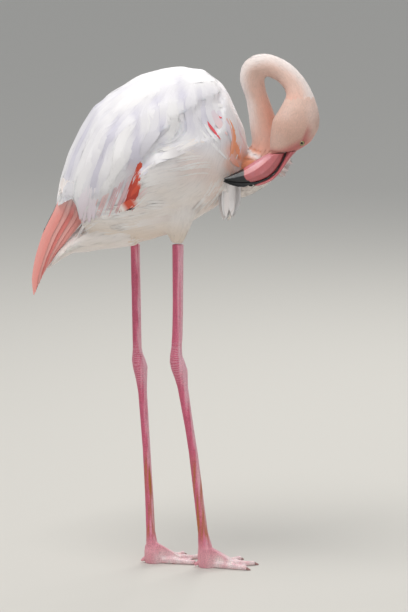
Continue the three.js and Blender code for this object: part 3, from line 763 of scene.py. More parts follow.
def plumage_material():
    """Feather: the tint, with fine barbs that run out from the shaft, darker at the root, a soft sheen."""
    material, shader = new_material("feathers", 0.62, sheen_weight=0.35, sheen_roughness=0.5)
    shader.inputs["Specular IOR Level"].default_value = 0.3
    tint = add_node(material, "ShaderNodeAttribute", attribute_name="tint")
    vane = add_node(material, "ShaderNodeAttribute", attribute_name="vane")
    parts = add_node(material, "ShaderNodeSeparateXYZ")
    link(material, vane.outputs["Vector"], parts.inputs[0])
    side = add_node(material, "ShaderNodeMath", operation="ABSOLUTE")
    link(material, parts.outputs["X"], side.inputs[0])
    slanted = add_node(material, "ShaderNodeMath", operation="MULTIPLY_ADD")
    link(material, side.outputs[0], slanted.inputs[0])
    slanted.inputs[1].default_value = -0.45
    link(material, parts.outputs["Y"], slanted.inputs[2])
    place = add_node(material, "ShaderNodeCombineXYZ")
    link(material, slanted.outputs[0], place.inputs["X"])
    link(material, parts.outputs["Z"], place.inputs["Y"])
    barbs = add_node(material, "ShaderNodeTexNoise", Scale=38, Detail=3)
    link(material, place.outputs[0], barbs.inputs["Vector"])
    light = add_node(material, "ShaderNodeMapRange")
    link(material, barbs.outputs["Fac"], light.inputs["Value"])
    light.inputs["To Min"].default_value = 0.93
    light.inputs["To Max"].default_value = 1.03
    edge = add_node(material, "ShaderNodeMapRange")
    link(material, parts.outputs["Y"], edge.inputs["Value"])
    edge.inputs["To Min"].default_value = 0.95
    both = add_node(material, "ShaderNodeMath", operation="MULTIPLY")
    link(material, light.outputs[0], both.inputs[0])
    link(material, edge.outputs[0], both.inputs[1])
    darkened(material, shader, tint.outputs["Color"], both.outputs[0], 1)
    bumped(material, shader, barbs.outputs["Fac"], 0.4, 0.0005)
    return material


PLUMAGE = plumage_material()


OVER_SKIN = 0.003  # where a feather's outside is looked for, to find the solid that it belongs to


def coat_colours(spines, normals, rng):
    """A colour for each ring of each feather, a little lighter or darker from feather to feather."""
    count, rings, _ = spines.shape
    middle = rings // 2
    owner = owners(spines[:, middle] + normals[:, middle] * OVER_SKIN)
    colours = plumage_colour(spines.reshape(-1, 3), np.repeat(owner, rings)).reshape(count, rings, 3)
    return colours * rng.uniform(0.94, 1.0, (count, 1, 1))


def grow_coat(
    name, chosen, lie, slot, seed, spacing, length, width, stretch=1.0, rows=4, unwrap=trunk_unwrap, **style
):
    """Feathers all over the chosen faces of the skin, as one piece. Spacing, length and width are in mm, and
    width is a half of a feather's spread."""
    rng = np.random.default_rng(seed)
    tips = scatter(chosen, spacing / 1000, rng, lie, stretch)
    lengths = length / 1000 * rng.uniform(0.8, 1.15, len(tips))
    spines, normals = traced(tips, lengths, lie, rows)
    colours = coat_colours(spines, normals, rng)
    widths = width / 1000 * rng.uniform(0.8, 1.2, len(tips))
    piece = vanes(name, spines, normals, widths, colours, rng, unwrap(spines[:, 0]), **style)
    piece.data.materials.append(PLUMAGE)
    return piece


def over_side(x, z, side):
    """The place on the skin that shows at a place of the side view, in mm, and the skin's normal there."""
    outside = mm(x, 300 * SIDES[side], z)
    place, _, face, _ = skin_tree.ray_cast(outside, Vector((0, -SIDES[side], 0)))
    if place is None:
        place, _, face, _ = skin_tree.find_nearest(mm(x, 40 * SIDES[side], z))
    return np.array(place), face_normals[face]


def laid(name, strokes, side, slot, seed, rings=8, **style):
    """Single feathers, laid one by one. Each is a line of the side view in mm from root to tip, a half width
    in mm, and its colours at the root and at the tip."""
    rng = np.random.default_rng(seed)
    spines, normals, widths, colours = [], [], [], []
    for line, half, at_root, at_tip in strokes:
        line = np.array(line, float)
        share = np.linspace(0, len(line) - 1, rings)
        flat = np.stack([np.interp(share, range(len(line)), line[:, axis]) for axis in (0, 1)], 1)
        found = [over_side(x, z, side) for x, z in flat]
        spines.append([place for place, _ in found])
        normals.append([normal for _, normal in found])
        widths.append(half / 1000)
        colours.append(blend(at_root, at_tip, np.linspace(0, 1, rings)))
    spines, normals, colours = np.array(spines), unit(np.array(normals)), np.array(colours)
    for _ in range(2):
        spines[:, 1:-1] = 0.5 * spines[:, 1:-1] + 0.25 * (spines[:, :-2] + spines[:, 2:])
        normals[:, 1:-1] = 0.5 * normals[:, 1:-1] + 0.25 * (normals[:, :-2] + normals[:, 2:])
    unwrapped = trunk_unwrap(spines[:, 0])
    piece = vanes(name, spines, unit(normals), np.array(widths), colours, rng, unwrapped, **style)
    piece.data.materials.append(PLUMAGE)
    return piece


def tress(line, copies, sway, half, at_root, at_tip, rng):
    """Copies of one stroke for laid(), each a little aside, longer or shorter than the last."""
    line = np.array(line, float)
    ahead = unit(line[-1] - line[0])
    copied = []
    for _ in range(copies):
        moved = line + rng.normal(0, sway, 2) + ahead * rng.uniform(-6, 6)
        copied.append((moved, half * rng.uniform(0.6, 1.2), at_root, at_tip))
    return copied


# ---------------------------------------------------------------- breast, belly and rump
# Short dense contour feathers, cream below and white above. They flow back from the breast along the belly,
# and swirl up over the flank in front of the wing's edge.

contour = {"lift": (-0.0012, 0.0002), "arch": 0.32, "softness": 0.75, "point": 0.8}
grow_coat("breast_feathers", face_owner == "breast", trunk_lie, "breast_plumage", seed=11, spacing=4.6,
          length=40, width=3.6, stretch=2.2, rows=5, ragged=1.0, **contour)
grow_coat("rump_feathers", face_owner == "rump", trunk_lie, "rump_plumage", seed=12, spacing=4.6,
          length=42, width=3.8, stretch=2.2, rows=5, ragged=1.2, **contour)

FLANK_WISPS = [
    ([(-10, 720), (-22, 728), (-39, 732), (-56, 730), (-70, 726)], 9, 2.2),
    ([(-20, 714), (-33, 719), (-50, 723), (-70, 720)], 6, 3),
    ([(-22, 686), (-39, 692), (-62, 692), (-85, 684), (-105, 677)], 12, 2.6),
    ([(-33, 674), (-56, 680), (-79, 677), (-102, 669)], 9, 3),
    ([(-82, 632), (-105, 634), (-125, 623), (-148, 624), (-171, 618)], 16, 3),
    ([(-40, 628), (-70, 634), (-96, 634)], 12, 4),
    ([(-150, 622), (-175, 612), (-196, 596), (-212, 580)], 14, 4),
    ([(0, 742), (-14, 744), (-30, 738), (-44, 728)], 6, 3),
    ([(10, 700), (-6, 706), (-26, 704), (-48, 700)], 10, 7),
    ([(30, 690), (22, 664), (8, 640), (-10, 622)], 12, 6),
    ([(44, 680), (40, 658), (34, 640), (24, 622)], 10, 4),
    ([(-60, 612), (-90, 606), (-120, 600), (-150, 592)], 14, 6),
]  # guide lines for locks of bright feathers over the flank: side view in mm, how many, how far they sway
FLANK_WHITE = srgb(255, 252, 250)
FLANK_SHADE = srgb(246, 234, 228)
WISP_HALF = 2.0  # mm, half a wisp's width
for side, sign in SIDES.items():
    rng = np.random.default_rng(14 + sign)
    wisps = []
    for line, copies, sway in FLANK_WISPS:
        wisps += tress(line, copies, sway, WISP_HALF, FLANK_SHADE, FLANK_WHITE, rng)
    laid(f"flank_wisps_{side}", wisps, side, "breast_plumage", seed=15, lift=(-0.0002, 0.0011), arch=0.35,
         softness=0.7, point=0.9, ragged=1.5)

# The patch in front of each wing's bend, where small orange and rosy coverts show between white ones: a line
# of the side view in mm, a half width, and the colours at root and tip.
CORAL = srgb(240, 96, 104)
PEARL = srgb(238, 230, 238)
ROSY = srgb(244, 208, 206)
SHOULDER_FEATHERS = [
    ([(-8, 792), (10, 800), (30, 797), (46, 787), (57, 772)], 3.6, WHITE, WHITE),
    ([(10, 792), (17, 780), (26, 766), (38, 748)], 7.5, PEARL, ROSY),
    ([(22, 790), (32, 775), (42, 756), (45, 736)], 4.2, PEARL, PEARL),
    ([(31, 784), (43, 768), (51, 748), (50, 730), (42, 706)], 5.6, APRICOT, APRICOT),
    ([(36, 776), (46, 758), (48, 738), (42, 712)], 3.6, ROSY, APRICOT),
    ([(50, 736), (56, 720), (60, 704)], 5.5, APRICOT, APRICOT),
    ([(40, 722), (47, 706), (58, 692)], 5.5, ROSY, APRICOT),
    ([(36, 792), (50, 777), (61, 756), (64, 735), (58, 712)], 3.8, WHITE, PEARL),
    ([(54, 778), (66, 756), (70, 734), (66, 712)], 3.6, PEARL, ROSY),
    ([(54, 738), (48, 720), (40, 706)], 1.2, WHITE, WHITE),
    ([(62, 732), (56, 714), (48, 700)], 1.1, WHITE, WHITE),
    ([(38, 764), (46, 745), (44, 726)], 1.0, WHITE, ROSY),
    ([(0, 771), (5, 761), (13, 749), (23, 737)], 2.4, WHITE, WHITE),
    ([(4, 773), (9, 765), (17, 755), (27, 742)], 2.5, CORAL, CORAL),
    ([(20, 781), (25, 778), (30, 776)], 2.4, CORAL, CORAL),
    ([(-6, 760), (8, 742), (24, 724), (38, 708)], 2.6, WHITE, WHITE),
]
for side in SIDES:
    laid(f"shoulder_feathers_{side}", SHOULDER_FEATHERS, side, "breast_plumage", seed=16,
         lift=(0.0002, 0.0016), columns=4, arch=0.12, softness=0.6, point=0.6, ragged=0.4)

# ---------------------------------------------------------------- folded wings
# Long soft scapulars and coverts that hang from the back over the folded wing and hide its quills. Broad
# vanes lie underneath, and narrow locks of their loose barbs over them. Red coverts show at the front edge.

COVERT_DARK = srgb(186, 58, 50)
# The near-black is painted shadow for the floor of the gap under the wing's edge.
WEDGE_FLOOR_SHADOW = srgb(74, 44, 48)
BLUSH = srgb(242, 188, 188)
WEDGE_FEATHERS = [
    [(-107, 712), (-112, 690), (-121, 660), (-140, 620)],
    [(-106, 706), (-110, 684), (-118, 655), (-134, 621)],
    [(-106, 698), (-109, 676), (-114, 652), (-127, 624)],
    [(-106, 686), (-108, 668), (-111, 652), (-118, 629)],
]
OVER_WEDGE = [
    # the first two strokes run from painted lilac shade at their roots to blush at their tips
    ([(-112, 712), (-120, 690), (-130, 660), (-146, 624)], 7, 2.4, 1.1, LILAC_SHADE, BLUSH),
    ([(-122, 716), (-134, 690), (-146, 660), (-160, 622)], 6, 3.0, 1.1, LILAC_SHADE, BLUSH),
    ([(-146, 700), (-156, 670), (-168, 640), (-178, 612)], 5, 4.0, 1.0, WHITE, BLUSH),
    ([(-86, 668), (-98, 660), (-110, 648)], 5, 2.5, 1.2, FLANK_WHITE, ROSY),
    ([(-90, 648), (-104, 642), (-116, 632)], 6, 2.2, 1.2, FLANK_WHITE, FLANK_WHITE),
    # two near-black strokes of painted shadow at the bottom of the wedge
    ([(-108, 636), (-118, 630), (-126, 627)], 2, 0.8, 2.6, WEDGE_FLOOR_SHADOW, WEDGE_FLOOR_SHADOW),
    ([(-98, 622), (-116, 624), (-134, 618), (-150, 616)], 12, 2.0, 1.8, FLANK_SHADE, FLANK_WHITE),
]  # strokes over the edges of the red coverts: line, how many, sway, half width, colours at root and tip
LOBE = srgb(244, 228, 238)
LOBE_ROOT = srgb(252, 248, 251)
TAIL_LOBE = [
    ([(-190, 682), (-199, 656), (-206, 630), (-207, 606)], 3, 0.8, 5.5, LOBE_ROOT, LOBE),
    ([(-187, 682), (-194, 656), (-199, 630), (-200, 604)], 3, 0.8, 5.5, LOBE_ROOT, LOBE),
    ([(-184, 680), (-187, 656), (-190, 630), (-191, 604)], 3, 0.8, 5.5, LOBE_ROOT, LOBE),
    ([(-180, 676), (-181, 652), (-183, 630), (-184, 608)], 3, 0.8, 4.5, LOBE_ROOT, LOBE),
    ([(-206, 676), (-216, 650), (-220, 626), (-213, 602)], 3, 0.8, 2.6, BLUSH, CORAL),
]  # the soft lobe of long scapulars over the root of the tertials, and the strokes beside it
for side, sign in SIDES.items():
    on_wing = (face_owner == f"wing_{side}") | (face_owner == f"scapulars_{side}")
    on_wing &= ~inside(face_centres, COVERT_WEDGE)
    wing = grow_coat(f"wing_feathers_{side}", on_wing, trunk_lie, "wing_plumage", seed=21 + sign, spacing=11,
                     length=96, width=8.5, stretch=2.5, rows=9, columns=4, lift=(-0.0012, 0.0002),
                     ragged=0.7, arch=0.16, point=0.6, softness=0.7)
    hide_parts(f"wing_{side}", f"scapulars_{side}")
    grow_coat(f"wing_locks_{side}", on_wing, trunk_lie, "wing_plumage", seed=24 + sign, spacing=4.6,
              length=92, width=2.8, stretch=6, rows=9, lift=(-0.0015, 0.0004), ragged=1.5, arch=0.5,
              point=0.9, softness=0.7)
    rng = np.random.default_rng(27 + sign)
    reds = []
    for line in WEDGE_FEATHERS:
        reds += tress(line, 7, 1.4, 2.4, COVERT_RED, COVERT_DARK, rng)
    laid(f"red_coverts_{side}", reds, side, "wing_plumage", seed=27, lift=(0, 0.0008), point=0.7)
    over = []
    for line, *rest in OVER_WEDGE + TAIL_LOBE:
        over += tress(line, *rest, rng)
    laid(f"wing_edge_{side}", over, side, "wing_plumage", seed=28, lift=(-0.0012, 0.0018), softness=0.7,
         point=0.45, ragged=0.8)

# ---------------------------------------------------------------- tail, thighs and loose plumes
# The short white tail with the vent feathers under it, and the thighs in soft feathers down to the bare
# shank. A tuft hangs from the breast, where the bill has drawn it out, and another stands out behind the
# bill's bend.

tail = grow_coat("tail_feathers", face_owner == "tail", trunk_lie, "tail_plumage", seed=31, spacing=7,
                 length=46, width=5, rows=6, lift=(-0.0012, 0.0003), ragged=1.0, softness=0.7, point=0.8)
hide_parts("tail")


def hanging(points):
    """The way that the thighs' feathers point: down and a little back."""
    return np.tile((-0.12, 0, -1.0), (len(points), 1))


for side, sign in SIDES.items():
    grow_coat(f"thigh_feathers_{side}", face_owner == f"thigh_{side}", hanging, "thigh_plumage",
              seed=41 + sign, spacing=4.4, length=22, width=3.4, lift=(-0.001, 0.0002), ragged=1.0,
              softness=0.7, point=0.7)


def free_tuft(name, lines, normals, slot, seed, half, rings=7, **style):
    """Loose feathers in the air, each on a smooth line by three places from root to tip, in the bird's mm,
    and of a half width in mm."""
    rng = np.random.default_rng(seed)
    shares = np.linspace(0, 1, rings)
    knots = np.array([[mm(*point) for point in line] for line in lines])
    bend = [(1 - shares) ** 2, 2 * shares * (1 - shares), shares**2]
    spines = sum(weight[None, :, None] * knots[:, n, None] for n, weight in enumerate(bend))
    facing = np.repeat(unit(np.array(normals, float))[:, None], rings, 1)
    halves = half / 1000 * rng.uniform(0.8, 1.2, len(lines))
    tones = blend(FLANK_SHADE, FLANK_WHITE, rng.uniform(0, 1, len(lines)))
    colours = np.repeat(tones[:, None], rings, 1)
    unwrapped = trunk_unwrap(spines[:, 0])
    piece = vanes(name, spines, facing, halves, colours, rng, unwrapped, lift=(0, 0), **style)
    piece.data.materials.append(PLUMAGE)
    return piece


# The tuft that hangs from the breast under the bill's end, in two lobes.
PLUME_LOBES = [(40, -46, 10, 13), (50, -50, 7.5, 11)]  # mm: middle ahead and aside, half spread of each
PLUMES = 46  # in each lobe
PLUME_ROOTS, PLUME_BEND, PLUME_TIPS = 676, 640, 604  # mm over the floor
rng = np.random.default_rng(46)
lines, normals = [], []
for ahead, aside, wide, deep in PLUME_LOBES:
    for turn in rng.uniform(0, 2 * math.pi, PLUMES):
        reach = rng.uniform(0.35, 1)
        x, y = reach * wide * math.cos(turn), reach * deep * math.sin(turn)
        low = PLUME_TIPS + 12 * rng.uniform() + 8 * reach * (ahead > 40)
        root = (ahead + 0.5 * x, aside + 0.6 * y, PLUME_ROOTS)
        bend = (ahead + 1.5 * x, aside + 1.2 * y, PLUME_BEND)
        lines.append([root, bend, (ahead - 3 + 0.5 * x, aside + 0.5 * y, low)])
        normals.append((0.02 * x, 1 if y > 0.7 * deep else -1, 0.6))
plumes = free_tuft("plume_feathers", lines, normals, "loose_plumes", seed=47, half=5.0, arch=0.1,
                   softness=0.95, point=0.6, ragged=0.8)
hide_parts("breast_plumes")

# A ruffled tuft at the front of the neck's root, behind the bend of the bill.
THROAT_FEATHERS = 110
lines, normals = [], []
for share in rng.uniform(0, 1, THROAT_FEATHERS):
    y = rng.uniform(-22, 12)
    root = (114 + 12 * share, y, 682 + 24 * share)
    tip = (134 + 14 * share + rng.uniform(-4, 2), 1.3 * y, 671 + 27 * share + rng.uniform(-3, 3))
    lines.append([root, ((root[0] + tip[0]) / 2, y, (root[2] + tip[2]) / 2 + 2), tip])
    normals.append((0, 1 if y > 4 else -1, 0.6))
free_tuft("throat_tuft", lines, normals, "breast_plumage", seed=48, half=2.4, arch=0.2, softness=0.85,
          point=0.9, ragged=1.5)

# ---------------------------------------------------------------- neck and head
# Very short, dense feathers that run from the bill's base over the head and down the neck, so close that
# they look like velvet. They stop short of the eyes and of the bare face.


def neck_lie(points):
    """The way that feathers point along the neck, from the head towards the root."""
    return nearest_on_neck(points) @ neck_ways + 0.12 * cloud(points, 18, 2)[:, None]


def neck_unwrap(points):
    """A flat map of the neck and head: along the neck's line and round it."""
    share = nearest_on_neck(points)
    centre, way = share @ neck_points, share @ neck_ways
    up = np.cross(way, (0, 1, 0))
    rest = points - centre
    around = np.arctan2(rest[:, 1], (rest * up).sum(1))
    flat = np.stack([around / (2 * math.pi) + 0.5, share @ neck_reach / neck_reach[-1]], 1)
    return 0.02 + 0.96 * np.clip(flat, 0, 1)


grow_coat("neck_root_feathers", face_owner == "neck_root", neck_lie, "neck_plumage", seed=51, spacing=4.4,
          length=20, width=3.2, unwrap=neck_unwrap, lift=(-0.001, 0.0016), ragged=0.8, arch=0.1, softness=0.7)
on_neck = np.isin(face_owner, ["neck_rise", "neck_turn", "neck_fall"])
grow_coat("neck_feathers", on_neck, neck_lie, "neck_plumage", seed=52, spacing=2.9, length=13, width=2.2,
          stretch=1.5, rows=3, unwrap=neck_unwrap, lift=(-0.0005, 0.0005), arch=0.06, softness=0.9,
          thickness=0.0002)
BARE_EDGE = 0.002  # bare skin over the face's line
BARE_ROUND_EYE = 1.5  # eye radii
face_height = over_face_line(face_centres)
eye_away = np.min([np.linalg.norm(face_centres - np.array(eye_place(side)), axis=1) for side in SIDES], 0)
on_head = (face_owner == "head") & (face_height > BARE_EDGE) & (eye_away > EYE_RADIUS * BARE_ROUND_EYE)
head_spacing = np.interp(face_height, [0, 0.05], [2.1, 3.2])  # mm, closest at the bare face
grow_coat("head_feathers", on_head, neck_lie, "neck_plumage", seed=53, spacing=head_spacing, length=8,
          width=1.6, rows=3, unwrap=neck_unwrap, lift=(-0.0004, 0.0003), arch=0.05, softness=0.92,
          thickness=0.0002)

# ---------------------------------------------------------------- salmon tertials
# Long narrow salmon feathers of the folded wings. They are rooted under the scapulars, droop in a curve over
# the tail and end in slender points.

SALMON = srgb(255, 158, 148)
SALMON_DEEP = srgb(246, 134, 130)
SALMON_PALE = srgb(255, 190, 182)
TERTIAL_BACK_EDGE = [
    (-214, 690), (-232, 650), (-247, 612), (-266, 574), (-279, 535), (-287, 500), (-288, 470),
]
TERTIAL_TAIL_EDGE = [
    (-184, 676), (-195, 636), (-206, 604), (-232, 571), (-250, 545), (-262, 518), (-270, 492),
]  # the fan's two edges in the side view in mm, and its feathers lie evenly between them
TERTIALS = 11
TERTIAL_RINGS = 15
TERTIAL_HALF = 0.0062


def along_curve(points, shares):
    """Places at shares of the way along a polyline."""
    at = np.linspace(0, 1, len(points))
    return np.stack([np.interp(shares, at, axis) for axis in zip(*points)], 1)


for side, sign in SIDES.items():
    rng = np.random.default_rng(61 + sign)
    spines, colours = [], []
    for n in range(TERTIALS):
        share = n / (TERTIALS - 1)
        shares = np.linspace(0, 1 - 0.24 * share**1.4, TERTIAL_RINGS)
        back, front = along_curve(TERTIAL_BACK_EDGE, shares), along_curve(TERTIAL_TAIL_EDGE, shares)
        out_y = np.interp(shares, [0, 1], [37, 12]) - 0.8 * n + 1.2 * (n % 2)
        flat = (1 - share) * back + share * front
        spines.append([mm(x, sign * y, z) for (x, z), y in zip(flat, out_y)])
        tone = blend(SALMON, SALMON_DEEP if n % 3 == 2 else SALMON_PALE, np.array([rng.uniform(0.2, 0.9)]))
        colours.append(blend(tone, WHITE, 0.9 * rise(shares, 0.34, 0.12)))
    spines = np.array(spines)
    normals = np.tile((-0.1, sign * 0.98, 0.12), (TERTIALS, TERTIAL_RINGS, 1))
    halves = np.full(TERTIALS, TERTIAL_HALF)
    tertials = vanes(f"tertial_feathers_{side}", spines, normals, halves, np.array(colours), rng,
                     trunk_unwrap(spines[:, 0]), columns=6, lift=(0, 0), ragged=0.3, arch=0.25)
    tertials.data.materials.append(PLUMAGE)
    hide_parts(f"tertials_{side}")

# Short white feather ends of the wing, which hide the roots of the tertials.
VEIL_FEATHERS = 60
for side, sign in SIDES.items():
    lines = []
    for share in np.random.default_rng(65 + sign).uniform(0, 1, VEIL_FEATHERS):
        x, z = -236 + 40 * share, 672 - 8 * share
        on_skin, _ = over_side(x, z, side)
        root = (x, on_skin[1] * 1000 - sign * 0.5, z)
        drop = 16 + 14 * math.sin(7 * share + 4 * math.sin(31 * share)) ** 2
        bend = (x - 4, (root[1] + sign * 40) / 2 + sign * 2, z - drop / 2)
        lines.append([root, bend, (x - 0.34 * drop, sign * 40, z - drop)])
    normals = [(-0.1, sign, 0.4)] * VEIL_FEATHERS
    free_tuft(f"wing_tips_{side}", lines, normals, "wing_plumage", seed=66, half=3.6, arch=0.15, softness=0.9,
              point=0.9)

# ---------------------------------------------------------------- bill
# Two horn halves, bent in the middle. The deep lower half closes against the thin lid of the upper half
# along a dark cutting edge. Both are rose, and black over the last third.

BILL_VOXEL = 0.0007
BILL_CLOSE = 0.0004  # the halves are grown by this much before they are fused
BILL_KEPT = 0.0001  # of the growth, when they are shrunk again
MOUTH_LINE = 0.0002  # half the width of the dark edges along the gape
BILL_ROSE = srgb(204, 112, 114)
BILL_PALE_HIGHLIGHT = srgb(226, 166, 180)
BILL_BLACK = srgb(26, 28, 30)
BILL_RIDGE_SHADE = srgb(170, 62, 74)
BLACK_EDGE = [
    (66, 700), (66.5, 688.6), (67, 680.4), (71.7, 674.2), (75.4, 673.2), (79, 667.9), (84.3, 666), (92, 655),
]  # where the rose ends and the black starts, in the side view in mm


def bill_colour(points):
    """Rose, paler along the keel, partly as painted highlight, with painted dark red shade along the upper
    half's ridge, and black at the end and along the cutting edges.
    """
    trees = [face_tree(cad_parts[f"bill_{half}"].data) for half in ("lower", "upper")]
    to_lower, to_upper = (np.array([tree.find_nearest(point)[3] for point in points]) for tree in trees)
    lower = (to_lower < to_upper).astype(float)
    ahead = (points[:, 0] - ZERO_X) * 1000
    height = points[:, 2] * 1000
    patchy = cloud(points, 9, 4)
    # Painted highlight along the lower half's keel, which is also a little paler there, and pale at random.
    pale = near_line(points, [(106, 713), (90, 704), (78, 696)], 5)
    colour = blend(np.tile(BILL_ROSE, (len(points), 1)), BILL_PALE_HIGHLIGHT, lower * 0.4 * pale + 0.15 * patchy)
    # Painted shade in dark red along the upper half's ridge.
    ridge = near_line(points, [(146, 716), (137, 700), (130, 690), (118, 678)], 3)
    colour = blend(colour, BILL_RIDGE_SHADE, (1 - lower) * 0.45 * ridge)
    edge_x = np.interp(-height, [-z for _, z in BLACK_EDGE], [x for x, _ in BLACK_EDGE])
    colour = blend(colour, BILL_BLACK, rise(edge_x - ahead + 0.8 * cloud(points, 3, 8), -0.6, 0.8))
    return blend(colour, BILL_BLACK, rise(np.abs(to_lower - to_upper), MOUTH_LINE * 1.3, MOUTH_LINE * 0.7))


def horn_material(name):
    """Smooth horn with growth lines and a thin gloss, coloured by the tint."""
    material, shader = new_material(name, 0.38, coat_weight=0.25, coat_roughness=0.25)
    tint = add_node(material, "ShaderNodeAttribute", attribute_name="tint")
    coords = add_node(material, "ShaderNodeTexCoord")
    grain = add_node(material, "ShaderNodeTexNoise", Scale=420, Detail=5)
    link(material, coords.outputs["Object"], grain.inputs["Vector"])
    darkened(material, shader, tint.outputs["Color"], grain.outputs["Fac"], 0.22)
    bumped(material, shader, grain.outputs["Fac"], 0.18, 0.0003)
    return material


def evened(mesh, name, rounds):
    """A piece from a fused mesh, smoothed in place."""
    bm = bmesh.new()
    bm.from_mesh(mesh)
    smooth(bm, rounds)
    for face in bm.faces:
        face.smooth = True
    return mesh_object(name, bm)


GAPE = [
    ((136, 718), (0.98, 0.12), 5, 0.5, -51), ((130.8, 703.7), (0.93, -0.25), 5.2, 0.6, -53),
    ((121.2, 688.3), (0.8, -0.5), 5.2, 0.7, -56), ((108, 676.5), (0.6, -0.75), 5.4, 0.8, -60),
    ((88.3, 669), (0.2, -0.97), 7.4, 1.5, -64), ((67, 666.8), (0, -1), 7, 2.4, -68),
    ((48.7, 669), (-0.1, -0.99), 4.4, 1.2, -72), ((37, 673), (-0.1, -0.99), 1.2, 0.4, -74.5),
]  # the black lining between the halves, the black of the cutting edges and painted shade inside the gap, in mm: its place in the side view, its way across, half its width, half its depth, and how far aside its middle lies
# half its depth, and how far aside its middle lies
CORNERS = [(-1, -1), (1, -1), (1, 1), (-1, 1)]

HORN = horn_material("bill horn")
# The black lining fills the gap between the halves: it is the black of the cutting edges, and painted shade
# inside the gap.
lining_bm = bmesh.new()
rings = []
for (x, z), (dx, dz), half, deep, y in GAPE:
    corners = [mm(x + a * dx * deep, y + b * half, z + a * dz * deep) for a, b in CORNERS]
    rings.append([lining_bm.verts.new(corner) for corner in corners])
for first, second in zip(rings, rings[1:]):
    for n in range(4):
        lining_bm.faces.new((first[n], first[(n + 1) % 4], second[(n + 1) % 4], second[n]))
lining_bm.faces.new(rings[0])
lining_bm.faces.new(rings[-1])
bmesh.ops.recalc_face_normals(lining_bm, faces=lining_bm.faces)
lining = mesh_object("mouth_lining", lining_bm)
paint(lining.data, np.tile(BILL_BLACK, (len(lining.data.vertices), 1)))
lining.data.materials.append(HORN)
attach(lining, "root")
bill = evened(fused("bill", ["bill_lower", "bill_upper"], BILL_VOXEL, BILL_CLOSE), "bill_horn", 3)
horn_points = coordinates(bill.data) - vertex_normals(bill.data) * (BILL_CLOSE - BILL_KEPT)
move_to(bill.data, horn_points)
paint(bill.data, bill_colour(horn_points))
bill.data.materials.append(HORN)
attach(bill, "root")
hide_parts("bill_lower", "bill_upper")

# ---------------------------------------------------------------- eyes
# Pale yellow eyes with a small round pupil, under a wet cornea. Each ball sits in its socket in the skin,
# which closes round it as a thin rim of bare lid.

IRIS_RADIUS = 0.0042
PUPIL_RADIUS = 0.002


def eye_material(name, centre):
    """Black pupil, yellow iris with fine rays and a dark rim, by the distance from the eye's own axis."""
    material, shader = new_material(name, 0.15, coat_weight=0.5, coat_roughness=0.03)
    coords = add_node(material, "ShaderNodeTexCoord")
    moved = add_node(material, "ShaderNodeMapping")
    moved.inputs["Location"].default_value = (-centre.x, 0, -centre.z)
    moved.inputs["Scale"].default_value = (1, 0, 1)
    link(material, coords.outputs["Object"], moved.inputs["Vector"])
    away = add_node(material, "ShaderNodeVectorMath", operation="LENGTH")
    link(material, moved.outputs[0], away.inputs[0])
    ramp = add_node(material, "ShaderNodeValToRGB")
    share = add_node(material, "ShaderNodeMath", operation="DIVIDE")
    link(material, away.outputs["Value"], share.inputs[0])
    share.inputs[1].default_value = EYE_RADIUS
    link(material, share.outputs[0], ramp.inputs["Fac"])
    pupil, rim = PUPIL_RADIUS / EYE_RADIUS, IRIS_RADIUS / EYE_RADIUS
    stops = [
        (0, srgb(12, 10, 10)), (pupil, srgb(14, 12, 10)), (pupil + 0.04, srgb(158, 148, 92)),
        (rim - 0.1, srgb(176, 166, 112)), (rim, srgb(96, 78, 52)), (1, srgb(60, 40, 38)),
    ]
    ramp.color_ramp.elements.remove(ramp.color_ramp.elements[1])
    ramp.color_ramp.elements[0].color = (*stops[0][1], 1)
    for at, colour in stops[1:]:
        ramp.color_ramp.elements.new(at).color = (*colour, 1)
    rays = add_node(material, "ShaderNodeTexNoise", Scale=1800, Detail=3)
    link(material, coords.outputs["Object"], rays.inputs["Vector"])
    darkened(material, shader, ramp.outputs["Color"], rays.outputs["Fac"], 0.3)
    return material


for side in SIDES:
    centre = eye_place(side)
    eye_bm = bmesh.new()
    bmesh.ops.create_icosphere(eye_bm, subdivisions=4, radius=EYE_RADIUS, matrix=Matrix.Translation(centre))
    for face in eye_bm.faces:
        face.smooth = True
    eye = mesh_object(f"eyeball_{side}", eye_bm)
    eye.data.materials.append(eye_material(f"eye {side}", centre))
    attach(eye, "root")
    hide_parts(f"eye_{side}")

# ---------------------------------------------------------------- legs and feet
# Bare scaled skin over bone and tendon, rose red, with a thick wrinkled ankle. Three toes spread forward
# with webs between them, and a small hind toe hangs over the ground.

LEG_VOXEL = 0.0011
LEG_FUSE = 0.0003  # the bones' solids are grown by this much before they are fused
LEG_SHRINK = 0.0002  # and the skin shrinks by this much afterwards
SOLE = 0.00005  # height of the lowest skin over the floor
LEG_ROSE = srgb(236, 124, 154)
LEG_DARK_AND_SHADE = srgb(204, 88, 118)
LEG_PALE_AND_HIGHLIGHT = srgb(246, 198, 208)
LEG_OCHRE = srgb(190, 116, 56)
WEB_PINK = srgb(240, 176, 184)
WEB_PALE_HIGHLIGHT = srgb(250, 226, 226)


